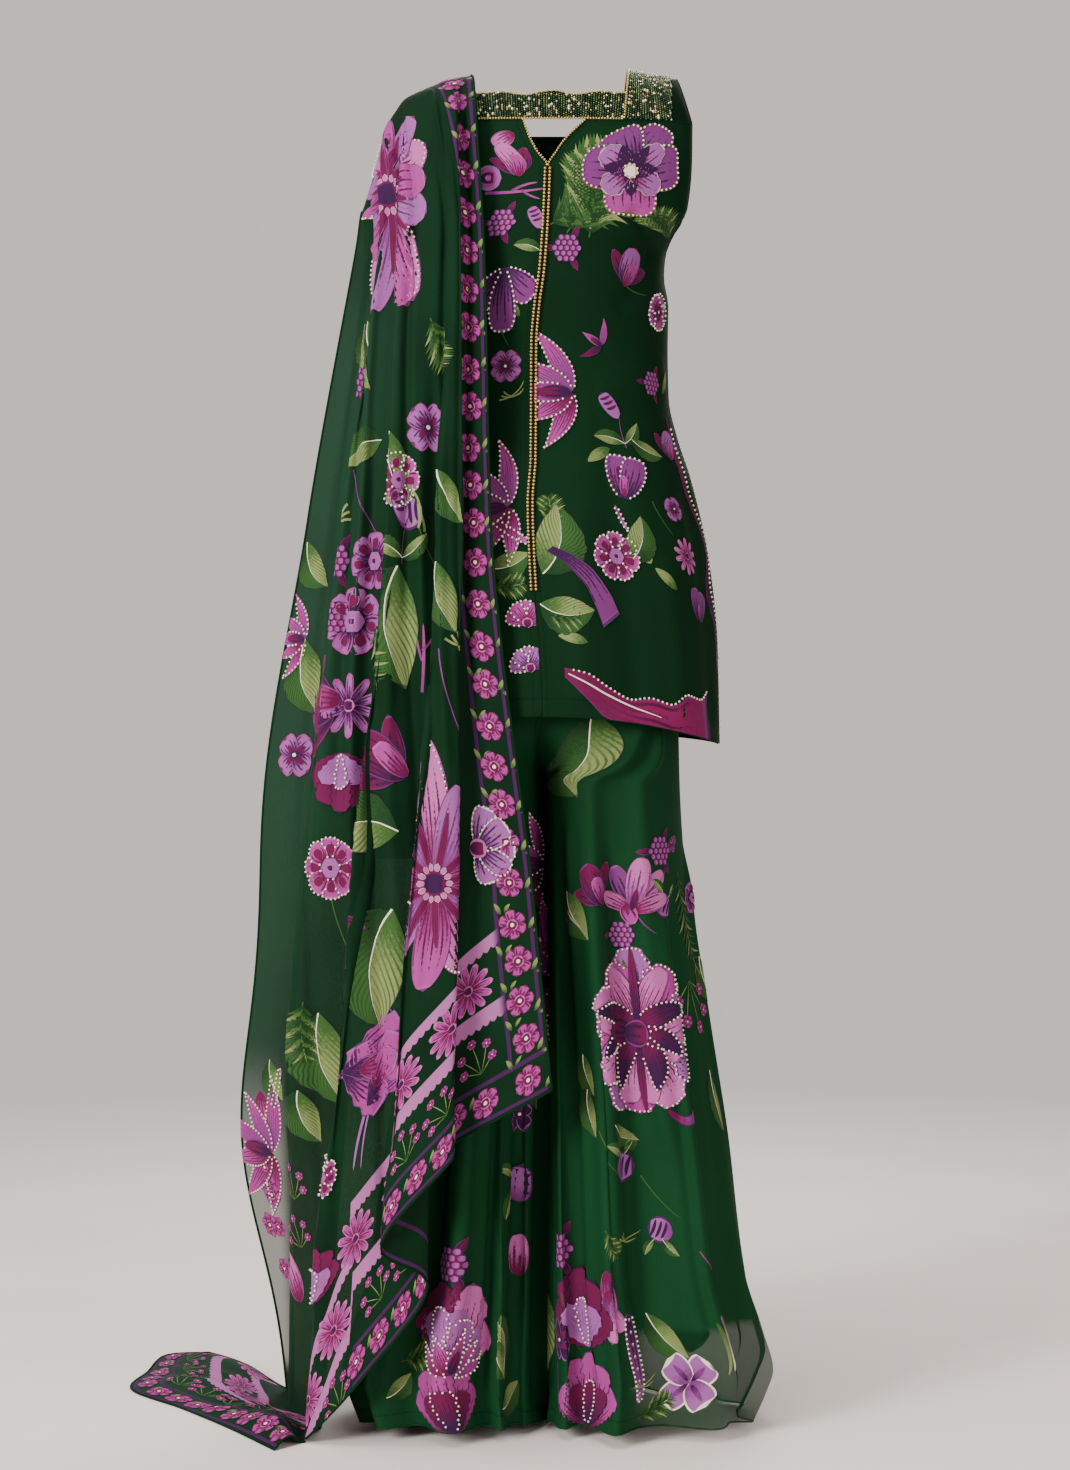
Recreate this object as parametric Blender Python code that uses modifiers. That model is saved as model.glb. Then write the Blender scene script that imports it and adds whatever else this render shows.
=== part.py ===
"""Sharara suit: a sleeveless kurta with an open front, wide sharara trousers and a long dupatta.

Lengths are metres. X runs to the wearer's left, Y to the back and Z up from the shoulder line.
Heights in the tables are measured from the floor.
"""

import math
from collections import namedtuple

import bmesh
import bpy
import numpy as np

# Main sizes
SHOULDER_HEIGHT = 1.45
WALL = 0.0014
SCARF_WALL = 0.0011
SEAM = 0.0004
LAYER = 0.0033

# Kurta: its sections from the hem to the upper chest
BodyRow = namedtuple("BodyRow", "height half_width front_depth back_depth front_edge back_edge")
KURTA_ROWS = (
    BodyRow(0.730, 0.1820, 0.150, 0.140, 0.0160, 0.0160),
    BodyRow(0.850, 0.1790, 0.142, 0.132, 0.0150, 0.0150),
    BodyRow(0.934, 0.1700, 0.134, 0.124, 0.0110, 0.0110),
    BodyRow(1.020, 0.1506, 0.121, 0.109, 0.0050, 0.0050),
    BodyRow(1.065, 0.1360, 0.112, 0.098, SEAM, SEAM),
    BodyRow(1.107, 0.1268, 0.106, 0.090, SEAM, SEAM),
    BodyRow(1.161, 0.1256, 0.108, 0.088, SEAM, SEAM),
    BodyRow(1.205, 0.1262, 0.118, 0.092, SEAM, SEAM),
    BodyRow(1.237, 0.1215, 0.123, 0.096, SEAM, SEAM),
    BodyRow(1.258, 0.1230, 0.122, 0.098, SEAM, SEAM),
    BodyRow(1.284, 0.1330, 0.119, 0.098, 0.0420, 0.0380),
    BodyRow(1.303, 0.1440, 0.115, 0.097, 0.0530, 0.0480),
    BodyRow(1.350, 0.1490, 0.106, 0.093, 0.0540, 0.0500),
    BodyRow(1.395, 0.1500, 0.094, 0.082, 0.0430, 0.0400),
)
BODY_FULLNESS = 2.25
KURTA_TOP = 1.395
FRONT_HEM_CENTRE = 0.772
FRONT_HEM_SIDE = 0.738
BACK_HEM_CENTRE = 0.742
BACK_HEM_SIDE = 0.735
HEM_RIPPLE = 0.005

# Centre front: the line where the two fronts meet, and the keyhole above it
CentreRow = namedtuple("CentreRow", "height right_front_edge left_front_edge")
CENTRE_ROWS = (
    CentreRow(0.730, -0.0084, -0.0076),
    CentreRow(0.840, -0.0124, -0.0116),
    CentreRow(0.900, -0.0176, -0.0168),
    CentreRow(0.995, -0.0214, -0.0206),
    CentreRow(1.040, -0.0184, -0.0176),
    CentreRow(1.161, -0.0176, -0.0168),
    CentreRow(1.200, -0.0145, -0.0137),
    CentreRow(1.237, -0.0094, -0.0086),
    CentreRow(1.300, -0.0051, -0.0043),
    CentreRow(1.345, -0.0034, -0.0026),
    CentreRow(1.360, -0.0140, 0.0060),
    CentreRow(1.373, -0.0210, 0.0150),
    CentreRow(1.395, -0.0290, 0.0370),
)
PLACKET_TOP = 1.343
PLACKET_BOTTOM = 0.902
PLACKET_HALF_WIDTH = 0.0045
PLACKET_WALL = 0.0012

# Shoulder straps over the top, and the beaded band between them
StrapRow = namedtuple("StrapRow", "side inner_ridge outer_ridge inner_height outer_height")
LEFT_STRAP = StrapRow(1, 0.0830, 0.1350, 1.4555, 1.4470)
RIGHT_STRAP = StrapRow(-1, 0.0830, 0.1350, 1.4443, 1.4328)
STRAP_INNER_BASE = 0.0770
BAND_TOP = 1.4235
BAND_WAVE = 0.0025

# Sharara: reach of each leg from the line where the legs part, and its depths
LegRow = namedtuple("LegRow", "height reach front_depth back_depth fullness parting")
LEG_GAP = 0.0032
INNER_SWAY = 0.0110
INNER_SWAY_DEPTH = 0.1000
INNER_SWAY_REACH = 0.0900
RIGHT_REACH = 0.860
LEG_ROWS = (
    LegRow(0.001, 0.2130, 0.0980, 0.0980, 2.60, -0.008),
    LegRow(0.040, 0.2310, 0.0980, 0.1000, 2.60, -0.008),
    LegRow(0.065, 0.2390, 0.0980, 0.1020, 2.60, -0.008),
    LegRow(0.105, 0.2290, 0.0970, 0.1010, 2.60, -0.008),
    LegRow(0.173, 0.2090, 0.0960, 0.0990, 2.60, -0.008),
    LegRow(0.321, 0.1930, 0.0960, 0.0980, 2.60, -0.008),
    LegRow(0.444, 0.1750, 0.0980, 0.0980, 2.60, -0.008),
    LegRow(0.566, 0.1570, 0.1040, 0.1000, 2.60, -0.008),
    LegRow(0.688, 0.1480, 0.1120, 0.1040, 2.60, -0.008),
    LegRow(0.800, 0.1450, 0.1120, 0.1060, 2.50, -0.007),
    LegRow(0.930, 0.1400, 0.1100, 0.1040, 2.35, -0.003),
    LegRow(1.063, 0.1244, 0.1034, 0.0874, 2.25, 0.000),
)
LEG_TOP = 1.063
CROTCH_TOP = 0.840
CROTCH_BASE = 0.700
WAISTBAND_HEIGHT = 0.040

# Folds of the legs: place across from the inner seam (0) to the side seam (1), and depth at the hem
FoldRow = namedtuple("FoldRow", "place spread depth starts")
LEFT_FRONT_FOLDS = (
    FoldRow(0.105, 0.038, 0.030, 0.700),
    FoldRow(0.265, 0.042, 0.040, 0.720),
    FoldRow(0.430, 0.050, 0.052, 0.980),
    FoldRow(0.650, 0.085, 0.030, 0.760),
    FoldRow(0.870, 0.050, 0.018, 0.480),
)
RIGHT_FRONT_FOLDS = (
    FoldRow(0.150, 0.055, 0.044, 0.820),
    FoldRow(0.325, 0.045, 0.036, 0.700),
    FoldRow(0.500, 0.050, 0.040, 0.760),
    FoldRow(0.690, 0.055, 0.032, 0.640),
    FoldRow(0.870, 0.045, 0.018, 0.480),
)
LEFT_BACK_FOLDS = (
    FoldRow(0.130, 0.045, 0.032, 0.640),
    FoldRow(0.310, 0.050, 0.038, 0.700),
    FoldRow(0.490, 0.045, 0.034, 0.560),
    FoldRow(0.680, 0.055, 0.032, 0.620),
    FoldRow(0.870, 0.045, 0.016, 0.420),
)
RIGHT_BACK_FOLDS = (
    FoldRow(0.120, 0.045, 0.034, 0.600),
    FoldRow(0.290, 0.045, 0.034, 0.680),
    FoldRow(0.470, 0.055, 0.038, 0.640),
    FoldRow(0.670, 0.050, 0.030, 0.560),
    FoldRow(0.860, 0.045, 0.018, 0.440),
)
FRONT_HEM = 0.016
SIDE_HEM = 0.001
BACK_HEM = 0.004

# Lining of the left leg: a plain narrow tube with its own hem
LINING_CENTRE = 0.0900
LiningRow = namedtuple("LiningRow", "height half_width depth")
LINING_ROWS = (
    LiningRow(0.115, 0.0590, 0.078),
    LiningRow(0.400, 0.0540, 0.076),
    LiningRow(0.700, 0.0480, 0.074),
)

# Dupatta front fall: a row for each fold line from the neck edge to the arm edge
ScarfRow = namedtuple(
    "ScarfRow",
    "crest_x crest_height chest_x chest_height chest_y waist_x waist_y "
    "knee_x knee_y end_x end_height end_y",
)
SCARF_ROWS = (
    ScarfRow(-0.084, 1.452, -0.069, 1.257, -0.136, -0.062, -0.152, -0.021, -0.165, 0.001, 0.384, -0.172),
    ScarfRow(-0.094, 1.450, -0.095, 1.266, -0.136, -0.099, -0.149, -0.104, -0.160, -0.109, 0.323, -0.166),
    ScarfRow(-0.102, 1.448, -0.092, 1.265, -0.152, -0.091, -0.168, -0.096, -0.187, -0.101, 0.317, -0.200),
    ScarfRow(-0.112, 1.446, -0.100, 1.265, -0.149, -0.115, -0.163, -0.149, -0.182, -0.177, 0.224, -0.188),
    ScarfRow(-0.120, 1.443, -0.104, 1.266, -0.139, -0.108, -0.152, -0.125, -0.168, -0.128, 0.175, -0.160),
    ScarfRow(-0.135, 1.437, -0.125, 1.266, -0.133, -0.141, -0.147, -0.177, -0.158, -0.202, 0.070, -0.143),
    ScarfRow(-0.150, 1.430, -0.159, 1.267, -0.123, -0.171, -0.153, -0.208, -0.166, -0.260, 0.0022, -0.112),
    ScarfRow(-0.160, 1.422, -0.153, 1.268, -0.107, -0.161, -0.137, -0.192, -0.147, -0.247, 0.0022, -0.040),
    ScarfRow(-0.172, 1.400, -0.181, 1.270, -0.095, -0.217, -0.124, -0.259, -0.131, -0.287, 0.0022, 0.034),
    ScarfRow(-0.184, 1.363, -0.177, 1.270, -0.078, -0.210, -0.104, -0.252, -0.108, -0.283, 0.0022, 0.086),
    ScarfRow(-0.200, 1.307, -0.205, 1.274, -0.030, -0.257, -0.060, -0.308, -0.050, -0.294, 0.0022, 0.130),
)
WAIST_HEIGHT = 0.976
KNEE_HEIGHT = 0.612
STATION_SHARES = (0.0, 0.035, 0.08, 0.17, 0.38, 0.64, 1.0)
BROW_DROP = 0.06
BROW_DEPTH = 0.44
COLLAR_DROP = 0.27
COLLAR_DEPTH = 0.78

# Dupatta back fall: a row for each fold line, seen from the back
BackScarfRow = namedtuple("BackScarfRow", "place blade_x hip_x hip_y hem_x hem_y")
BACK_SCARF_ROWS = (
    BackScarfRow(0.00, -0.080, -0.072, 0.146, -0.060, 0.156),
    BackScarfRow(0.20, -0.104, -0.114, 0.156, -0.112, 0.168),
    BackScarfRow(0.30, -0.112, -0.107, 0.143, -0.104, 0.152),
    BackScarfRow(0.50, -0.136, -0.152, 0.152, -0.160, 0.163),
    BackScarfRow(0.62, -0.148, -0.146, 0.138, -0.152, 0.146),
    BackScarfRow(0.80, -0.172, -0.196, 0.138, -0.214, 0.145),
    BackScarfRow(0.90, -0.182, -0.192, 0.120, -0.208, 0.126),
    BackScarfRow(1.00, -0.200, -0.236, 0.070, -0.262, 0.066),
)
BACK_SHARES = (0.0, 0.07, 0.16, 0.32, 0.64, 1.0)
BLADE_HEIGHT = 1.280
BLADE_Y = 0.112
BACK_HIP_HEIGHT = 0.960
BACK_END_HEIGHT = 0.600

# Dupatta end on the floor: a row across it, from the front corner to the back
FloorRow = namedtuple("FloorRow", "far_x far_y middle_rise")
FLOOR_ROWS = (
    FloorRow(-0.290, -0.148, 0.010),
    FloorRow(-0.345, -0.052, 0.018),
    FloorRow(-0.405, 0.040, 0.008),
    FloorRow(-0.470, 0.131, 0.020),
    FloorRow(-0.461, 0.220, 0.008),
    FloorRow(-0.449, 0.305, 0.018),
    FloorRow(-0.400, 0.320, 0.006),
)
FLOOR_STARTS = 0.600
FLOOR_REST = 0.0010
SCARF_TOUCH = 0.0022

# Colours
GREEN = (0.010, 0.062, 0.026)
SHEER_GREEN = (0.016, 0.085, 0.040)
LINING_GREEN = (0.020, 0.075, 0.040)
GOLD = (0.560, 0.360, 0.130)
BEADED = (0.150, 0.170, 0.090)


def smooth_read(places, values, at):
    """Value on a smooth curve through the points, without overshoot."""
    places = np.asarray(places, float)
    values = np.asarray(values, float)
    if at <= places[0]:
        return float(values[0])
    if at >= places[-1]:
        return float(values[-1])
    low = int(np.searchsorted(places, at, side="right")) - 1
    rises = np.diff(values) / np.diff(places)

    def slope(index):
        if index == 0:
            return rises[0]
        if index == len(rises):
            return rises[-1]
        before, after = rises[index - 1], rises[index]
        if before * after <= 0.0:
            return 0.0
        return 2.0 * before * after / (before + after)

    width = places[low + 1] - places[low]
    share = (at - places[low]) / width
    square, cube = share ** 2, share ** 3
    return float(
        values[low] * (2.0 * cube - 3.0 * square + 1.0)
        + slope(low) * width * (cube - 2.0 * square + share)
        + values[low + 1] * (3.0 * square - 2.0 * cube)
        + slope(low + 1) * width * (cube - square)
    )


def read_rows(rows, key, name, at):
    """One named column of a table, read smoothly at a place along its key column."""
    return smooth_read([getattr(row, key) for row in rows], [getattr(row, name) for row in rows], at)


def round_read(values, at):
    """Value at a fractional index on a rounded curve through evenly spaced values."""
    last = len(values) - 1
    low = min(int(at), last - 1)
    share = at - low
    before = values[low - 1] if low > 0 else 2.0 * values[0] - values[1]
    after = values[low + 2] if low + 2 <= last else 2.0 * values[last] - values[last - 1]
    first, second = values[low], values[low + 1]
    return 0.5 * (
        2.0 * first
        + (second - before) * share
        + (2.0 * before - 5.0 * first + 4.0 * second - after) * share ** 2
        + (3.0 * first - before - 3.0 * second + after) * share ** 3
    )


def ease(share):
    """Smooth step from 0 to 1."""
    share = min(max(share, 0.0), 1.0)
    return share * share * (3.0 - 2.0 * share)


def mix(first, second, share):
    return first + (second - first) * share


def raised(x, y, height):
    """Point in the part's own frame, from a height above the floor."""
    return (x, y, height - SHOULDER_HEIGHT)


# Kurta surface


def body_turn(across):
    """Turn round the body, in radians from the centre front, of a share of the half width."""
    share = min(abs(across), 1.0) ** (BODY_FULLNESS / 2.0)
    return math.copysign(math.asin(share), across)


def kurta_point(height, turn, face, out=0.0):
    """Point of the kurta's surface. The face is -1 in front and 1 at the back."""
    front = face < 0
    half_width = read_rows(KURTA_ROWS, "height", "half_width", height)
    depth = read_rows(KURTA_ROWS, "height", "front_depth" if front else "back_depth", height)
    edge = read_rows(KURTA_ROWS, "height", "front_edge" if front else "back_edge", height)
    power = 2.0 / BODY_FULLNESS
    across = math.copysign(abs(math.sin(turn)) ** power, turn)
    fall = max(math.cos(turn), 0.0) ** power
    ripple = HEM_RIPPLE * ease((1.02 - height) / 0.28) * math.sin(3.2 * turn + 0.6) * math.cos(turn) ** 2
    deep = edge + (depth - edge + ripple + out) * fall
    return raised((half_width + out) * across, face * deep, height)


def front_panel(side):
    """One front of the kurta. The side is 1 on the wearer's left."""
    inner_name = "left_front_edge" if side > 0 else "right_front_edge"

    def place(across, up):
        guess = ease(across)
        hem = mix(FRONT_HEM_CENTRE, FRONT_HEM_SIDE, guess)
        height = mix(hem, KURTA_TOP, up)
        half_width = read_rows(KURTA_ROWS, "height", "half_width", height)
        inner = read_rows(CENTRE_ROWS, "height", inner_name, height)
        inner_turn = body_turn(inner / half_width)
        return kurta_point(height, mix(inner_turn, side * math.pi / 2.0, across), -1)

    return place


def back_panel(across, up):
    turn = mix(-math.pi / 2.0, math.pi / 2.0, across)
    hem = mix(BACK_HEM_SIDE, BACK_HEM_CENTRE, math.cos(turn) ** 2)
    return kurta_point(mix(hem, KURTA_TOP, up), turn, 1)


def placket(across, up):
    height = mix(PLACKET_BOTTOM, PLACKET_TOP, up)
    half_width = read_rows(KURTA_ROWS, "height", "half_width", height)
    left = read_rows(CENTRE_ROWS, "height", "left_front_edge", height)
    right = read_rows(CENTRE_ROWS, "height", "right_front_edge", height)
    x = 0.5 * (left + right) + mix(-PLACKET_HALF_WIDTH, PLACKET_HALF_WIDTH, across)
    return kurta_point(height, body_turn(x / half_width), -1, LAYER)


def yoke_depth(x, face):
    """Depth of the chest or the back at the height where the straps start."""
    half_width = KURTA_ROWS[-1].half_width
    point = kurta_point(KURTA_TOP, body_turn(x / half_width), face)
    return abs(point[1])


def strap(row):
    """Strap over one shoulder, from the front to the back."""

    def place(across, over):
        turn = math.pi * over
        climb = math.sin(turn)
        base_x = mix(STRAP_INNER_BASE, KURTA_ROWS[-1].half_width, across)
        ridge_x = mix(row.inner_ridge, row.outer_ridge, across)
        ridge = mix(row.inner_height, row.outer_height, across)
        face = -1 if over < 0.5 else 1
        base = KURTA_TOP + 2.0 * SEAM
        x = mix(base_x, ridge_x, climb)
        y = face * yoke_depth(base_x, face) * abs(math.cos(turn))
        return raised(row.side * x, y, mix(base, ridge, climb))

    return place


def neck_band(across, up):
    """Beaded band over the keyhole, between the straps."""
    base = KURTA_TOP + 2.0 * SEAM
    share = mix(-1.0, 1.0, across)
    row = LEFT_STRAP if share > 0 else RIGHT_STRAP
    top = BAND_TOP + BAND_WAVE * math.cos(9.0 * share) * (1.0 - share ** 2)
    height = mix(base, top, up)
    climb = (height - base) / (row.inner_height - base)
    edge = mix(STRAP_INNER_BASE, row.inner_ridge, climb) - 2.0 * SEAM
    depth_share = math.sqrt(max(1.0 - climb ** 2, 0.0))
    x = share * edge
    return raised(x, -yoke_depth(share * STRAP_INNER_BASE, -1) * depth_share, height)


# Sharara surface


def fold_depth(folds, place, height):
    """How far the folds stand out at one place of a leg panel."""
    total = 0.0
    for fold in folds:
        drop = ease((fold.starts - height) / (fold.starts - FRONT_HEM)) ** 0.8
        total += fold.depth * drop * math.exp(-((place - fold.place) / fold.spread) ** 2)
    return total * ease(place / 0.06) * ease((1.0 - place) / 0.06)


def leg_panel(side, face, folds):
    """Front or back of one leg, from the waistband to the hem."""
    depth_name = "front_depth" if face < 0 else "back_depth"
    middle_hem = FRONT_HEM if face < 0 else BACK_HEM

    def place(across, down):
        hem = mix(SIDE_HEM, middle_hem, math.sin(math.pi * across) ** 0.7 if 0.0 < across < 1.0 else 0.0)
        height = mix(LEG_TOP, hem, down)
        reach = read_rows(LEG_ROWS, "height", "reach", height)
        depth = read_rows(LEG_ROWS, "height", depth_name, height)
        parted = ease((CROTCH_TOP - height) / (CROTCH_TOP - CROTCH_BASE))
        if side < 0:
            reach *= mix(1.0, RIGHT_REACH, parted)
        inner = SEAM + LEG_GAP * min(4.0 * parted, 1.0)
        centre = parted * (reach + inner) / 2.0
        half = reach - centre
        power = 2.0 / read_rows(LEG_ROWS, "height", "fullness", height)
        parting = read_rows(LEG_ROWS, "height", "parting", height)
        inner_share = min(abs((inner - centre) / half), 1.0) ** (1.0 / power)
        inner_turn = math.acos(math.copysign(inner_share, inner - centre))
        turn = inner_turn * (1.0 - across)
        x = centre + half * math.copysign(abs(math.cos(turn)) ** power, math.cos(turn))
        y = depth * max(math.sin(turn), 0.0) ** power
        fold = fold_depth(folds, across, height)
        x = max(x + fold * max(math.cos(turn), 0.0), inner)
        y = y + fold * math.sin(turn) + SEAM
        sway = math.cos(math.pi * y / INNER_SWAY_DEPTH) * ease(1.0 - x / INNER_SWAY_REACH)
        x += side * INNER_SWAY * parted * sway
        return raised(parting + side * x, face * y, height)

    return place


def waistband(face):
    top_row = LEG_ROWS[-1]
    depth = top_row.front_depth if face < 0 else top_row.back_depth

    def place(across, up):
        turn = math.pi * across
        power = 2.0 / top_row.fullness
        x = top_row.reach * math.copysign(abs(math.cos(turn)) ** power, math.cos(turn))
        y = depth * max(math.sin(turn), 0.0) ** power + SEAM
        height = mix(LEG_TOP + 2.0 * SEAM, LEG_TOP + WAISTBAND_HEIGHT, up)
        return raised(top_row.parting + x, face * y, height)

    return place


def lining(around, up):
    turn = 2.0 * math.pi * around
    height = mix(LINING_ROWS[0].height, LINING_ROWS[-1].height, up)
    half_width = read_rows(LINING_ROWS, "height", "half_width", height)
    depth = read_rows(LINING_ROWS, "height", "depth", height)
    return raised(LINING_CENTRE + half_width * math.cos(turn), depth * math.sin(turn), height)


# Dupatta surface


def scarf_stations(place):
    """Points down one line of the front fall, from the shoulder crest to the end."""
    at = place * (len(SCARF_ROWS) - 1)

    def read(name):
        return round_read([getattr(row, name) for row in SCARF_ROWS], at)

    crest = (read("crest_x"), 0.0, read("crest_height"))
    chest = (read("chest_x"), read("chest_y"), read("chest_height"))
    brow = (mix(crest[0], chest[0], 0.2), chest[1] * BROW_DEPTH, mix(crest[2], chest[2], BROW_DROP))
    collar = (mix(crest[0], chest[0], 0.4), chest[1] * COLLAR_DEPTH, mix(crest[2], chest[2], COLLAR_DROP))
    waist = (read("waist_x"), read("waist_y"), WAIST_HEIGHT)
    knee = (read("knee_x"), read("knee_y"), KNEE_HEIGHT)
    end = (read("end_x"), read("end_y"), max(read("end_height"), SCARF_TOUCH))
    return (crest, brow, collar, chest, waist, knee, end)


def scarf_front(across, down):
    stations = scarf_stations(across)
    x, y, height = [smooth_read(STATION_SHARES, axis, down) for axis in zip(*stations)]
    return raised(x, y - SEAM, height)


def scarf_back(across, down):
    crest = scarf_stations(across)[0]

    def read(name):
        return read_rows(BACK_SCARF_ROWS, "place", name, across)

    blade_y = mix(BLADE_Y, 0.050, across ** 2)
    blade = (read("blade_x"), blade_y, min(BLADE_HEIGHT, crest[2] - 0.035))
    brow = (mix(crest[0], blade[0], 0.2), blade[1] * 0.46, mix(crest[2], blade[2], BROW_DROP))
    collar = (mix(crest[0], blade[0], 0.4), blade[1] * 0.82, mix(crest[2], blade[2], COLLAR_DROP))
    hip = (read("hip_x"), read("hip_y"), BACK_HIP_HEIGHT)
    end = (read("hem_x"), read("hem_y"), BACK_END_HEIGHT)
    stations = (crest, brow, collar, blade, hip, end)
    x, y, height = [smooth_read(BACK_SHARES, axis, down) for axis in zip(*stations)]
    return raised(x, y + SEAM, height)


def scarf_floor(along, outward):
    at = along * (len(FLOOR_ROWS) - 1)

    def read(name):
        return round_read([getattr(row, name) for row in FLOOR_ROWS], at)

    root = scarf_stations(mix(FLOOR_STARTS, 1.0, along))[-1]
    x = mix(root[0], read("far_x"), outward)
    y = mix(root[1], read("far_y"), outward)
    rise = read("middle_rise") * math.sin(math.pi * outward) * ease(2.0 * outward)
    return raised(x, y, FLOOR_REST + rise)


# Building


def fresh_collection(name):
    collection = bpy.data.collections.get(name) or bpy.data.collections.new(name)
    if collection.name not in bpy.context.scene.collection.children:
        bpy.context.scene.collection.children.link(collection)
    return collection


def cloth_material(name, colour, roughness, metallic=0.0):
    material = bpy.data.materials.new(name)
    material.use_nodes = True
    shader = material.node_tree.nodes["Principled BSDF"]
    shader.inputs["Base Color"].default_value = (*colour, 1.0)
    shader.inputs["Roughness"].default_value = roughness
    shader.inputs["Metallic"].default_value = metallic
    return material


def cloth(name, across, along, place, material, collection, wall=WALL, closed=False):
    """A sheet of cloth with a wall: a grid whose points the given function places."""
    bm = bmesh.new()
    bmesh.ops.create_grid(bm, x_segments=across, y_segments=along, size=0.5)
    for vert in bm.verts:
        vert.co = place(vert.co.x + 0.5, vert.co.y + 0.5)
    if closed:
        bmesh.ops.remove_doubles(bm, verts=bm.verts, dist=0.00005)
    bmesh.ops.recalc_face_normals(bm, faces=bm.faces)
    for face in bm.faces:
        face.smooth = True
    mesh = bpy.data.meshes.new(name)
    bm.to_mesh(mesh)
    bm.free()
    mesh.materials.append(material)
    piece = bpy.data.objects.new(name, mesh)
    collection.objects.link(piece)
    thick = piece.modifiers.new("wall", "SOLIDIFY")
    thick.thickness = wall
    thick.offset = 0.0
    return piece


def main():
    for item in list(bpy.data.objects):
        bpy.data.objects.remove(item, do_unlink=True)
    suit = fresh_collection("sharara_suit")

    green = cloth_material("green_georgette", GREEN, 0.72)
    trousers = cloth_material("green_trouser_georgette", GREEN, 0.70)
    sheer = cloth_material("sheer_green_chiffon", SHEER_GREEN, 0.68)
    under = cloth_material("green_lining", LINING_GREEN, 0.60)
    gold = cloth_material("gold_beading", GOLD, 0.38, 0.7)
    beaded = cloth_material("beaded_yoke", BEADED, 0.42, 0.3)

    cloth("kurta_front_left", 10, 15, front_panel(1), green, suit)
    cloth("kurta_front_right", 10, 15, front_panel(-1), green, suit)
    cloth("kurta_back", 16, 15, back_panel, green, suit)
    cloth("shoulder_left", 4, 10, strap(LEFT_STRAP), beaded, suit)
    cloth("shoulder_right", 4, 10, strap(RIGHT_STRAP), green, suit)
    cloth("neck_band", 16, 2, neck_band, beaded, suit)
    cloth("placket_band", 2, 24, placket, gold, suit, PLACKET_WALL)

    cloth("waistband_front", 16, 1, waistband(-1), trousers, suit)
    cloth("waistband_back", 16, 1, waistband(1), trousers, suit)
    cloth("sharara_left_front", 32, 11, leg_panel(1, -1, LEFT_FRONT_FOLDS), trousers, suit)
    cloth("sharara_left_back", 28, 11, leg_panel(1, 1, LEFT_BACK_FOLDS), trousers, suit)
    cloth("sharara_right_front", 30, 11, leg_panel(-1, -1, RIGHT_FRONT_FOLDS), trousers, suit)
    cloth("sharara_right_back", 28, 11, leg_panel(-1, 1, RIGHT_BACK_FOLDS), trousers, suit)
    cloth("left_lining", 20, 3, lining, under, suit, closed=True)

    cloth("dupatta_front_fall", 44, 19, scarf_front, sheer, suit, SCARF_WALL)
    cloth("dupatta_back_fall", 24, 11, scarf_back, sheer, suit, SCARF_WALL)
    cloth("dupatta_floor", 14, 7, scarf_floor, sheer, suit, SCARF_WALL)


main()
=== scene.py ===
"""Sharara suit dressed for the camera: printed georgette kurta and sharara, and a sheer dupatta.

X runs to the wearer's left, Y to the back and Z up from the shoulder line, in metres. Heights in the tables
are measured from the floor.
"""

import math
from collections import namedtuple

import bmesh
import bpy
import numpy as np
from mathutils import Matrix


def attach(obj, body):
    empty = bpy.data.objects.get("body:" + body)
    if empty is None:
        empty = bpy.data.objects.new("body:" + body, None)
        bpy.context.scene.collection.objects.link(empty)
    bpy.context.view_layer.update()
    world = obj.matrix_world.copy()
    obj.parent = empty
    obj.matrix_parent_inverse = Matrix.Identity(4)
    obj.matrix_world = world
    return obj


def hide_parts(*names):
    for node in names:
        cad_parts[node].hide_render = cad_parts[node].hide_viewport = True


bl_info = {
    "name": "Sharara suit",
    "version": (1, 0, 0),
    "blender": (4, 5, 0),
    "location": "3D View > Sidebar > Suit",
    "description": "Builds a kurta, sharara and dupatta on their packed frame",
    "category": "Add Mesh",
}

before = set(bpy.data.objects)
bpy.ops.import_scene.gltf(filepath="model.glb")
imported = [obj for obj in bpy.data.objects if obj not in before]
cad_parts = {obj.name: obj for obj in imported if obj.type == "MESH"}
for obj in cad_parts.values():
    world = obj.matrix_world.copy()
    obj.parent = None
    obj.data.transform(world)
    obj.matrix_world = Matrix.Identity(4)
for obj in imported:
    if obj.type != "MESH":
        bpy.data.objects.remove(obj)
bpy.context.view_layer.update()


def table(kind, *rows):
    """Rows with named columns."""
    return tuple(kind(*row) for row in rows)


SHOULDER_HEIGHT = 1.45
SEAM = 0.0004
PRINT_LIFT = 0.0005
LAYER_STEP = 0.00022
MOTIF_STEP = 0.00001
HATCH_MOST = 20.0
CREPE_ROUGHNESS = 0.65
STITCH = 0.0042
KURTA_SEAMS = (("end", 0.018), ("inner", 0.007))
LEG_SEAM = 0.014
CREASE_TAPER = 0.12
SLIT_TOP = 1.060

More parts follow.
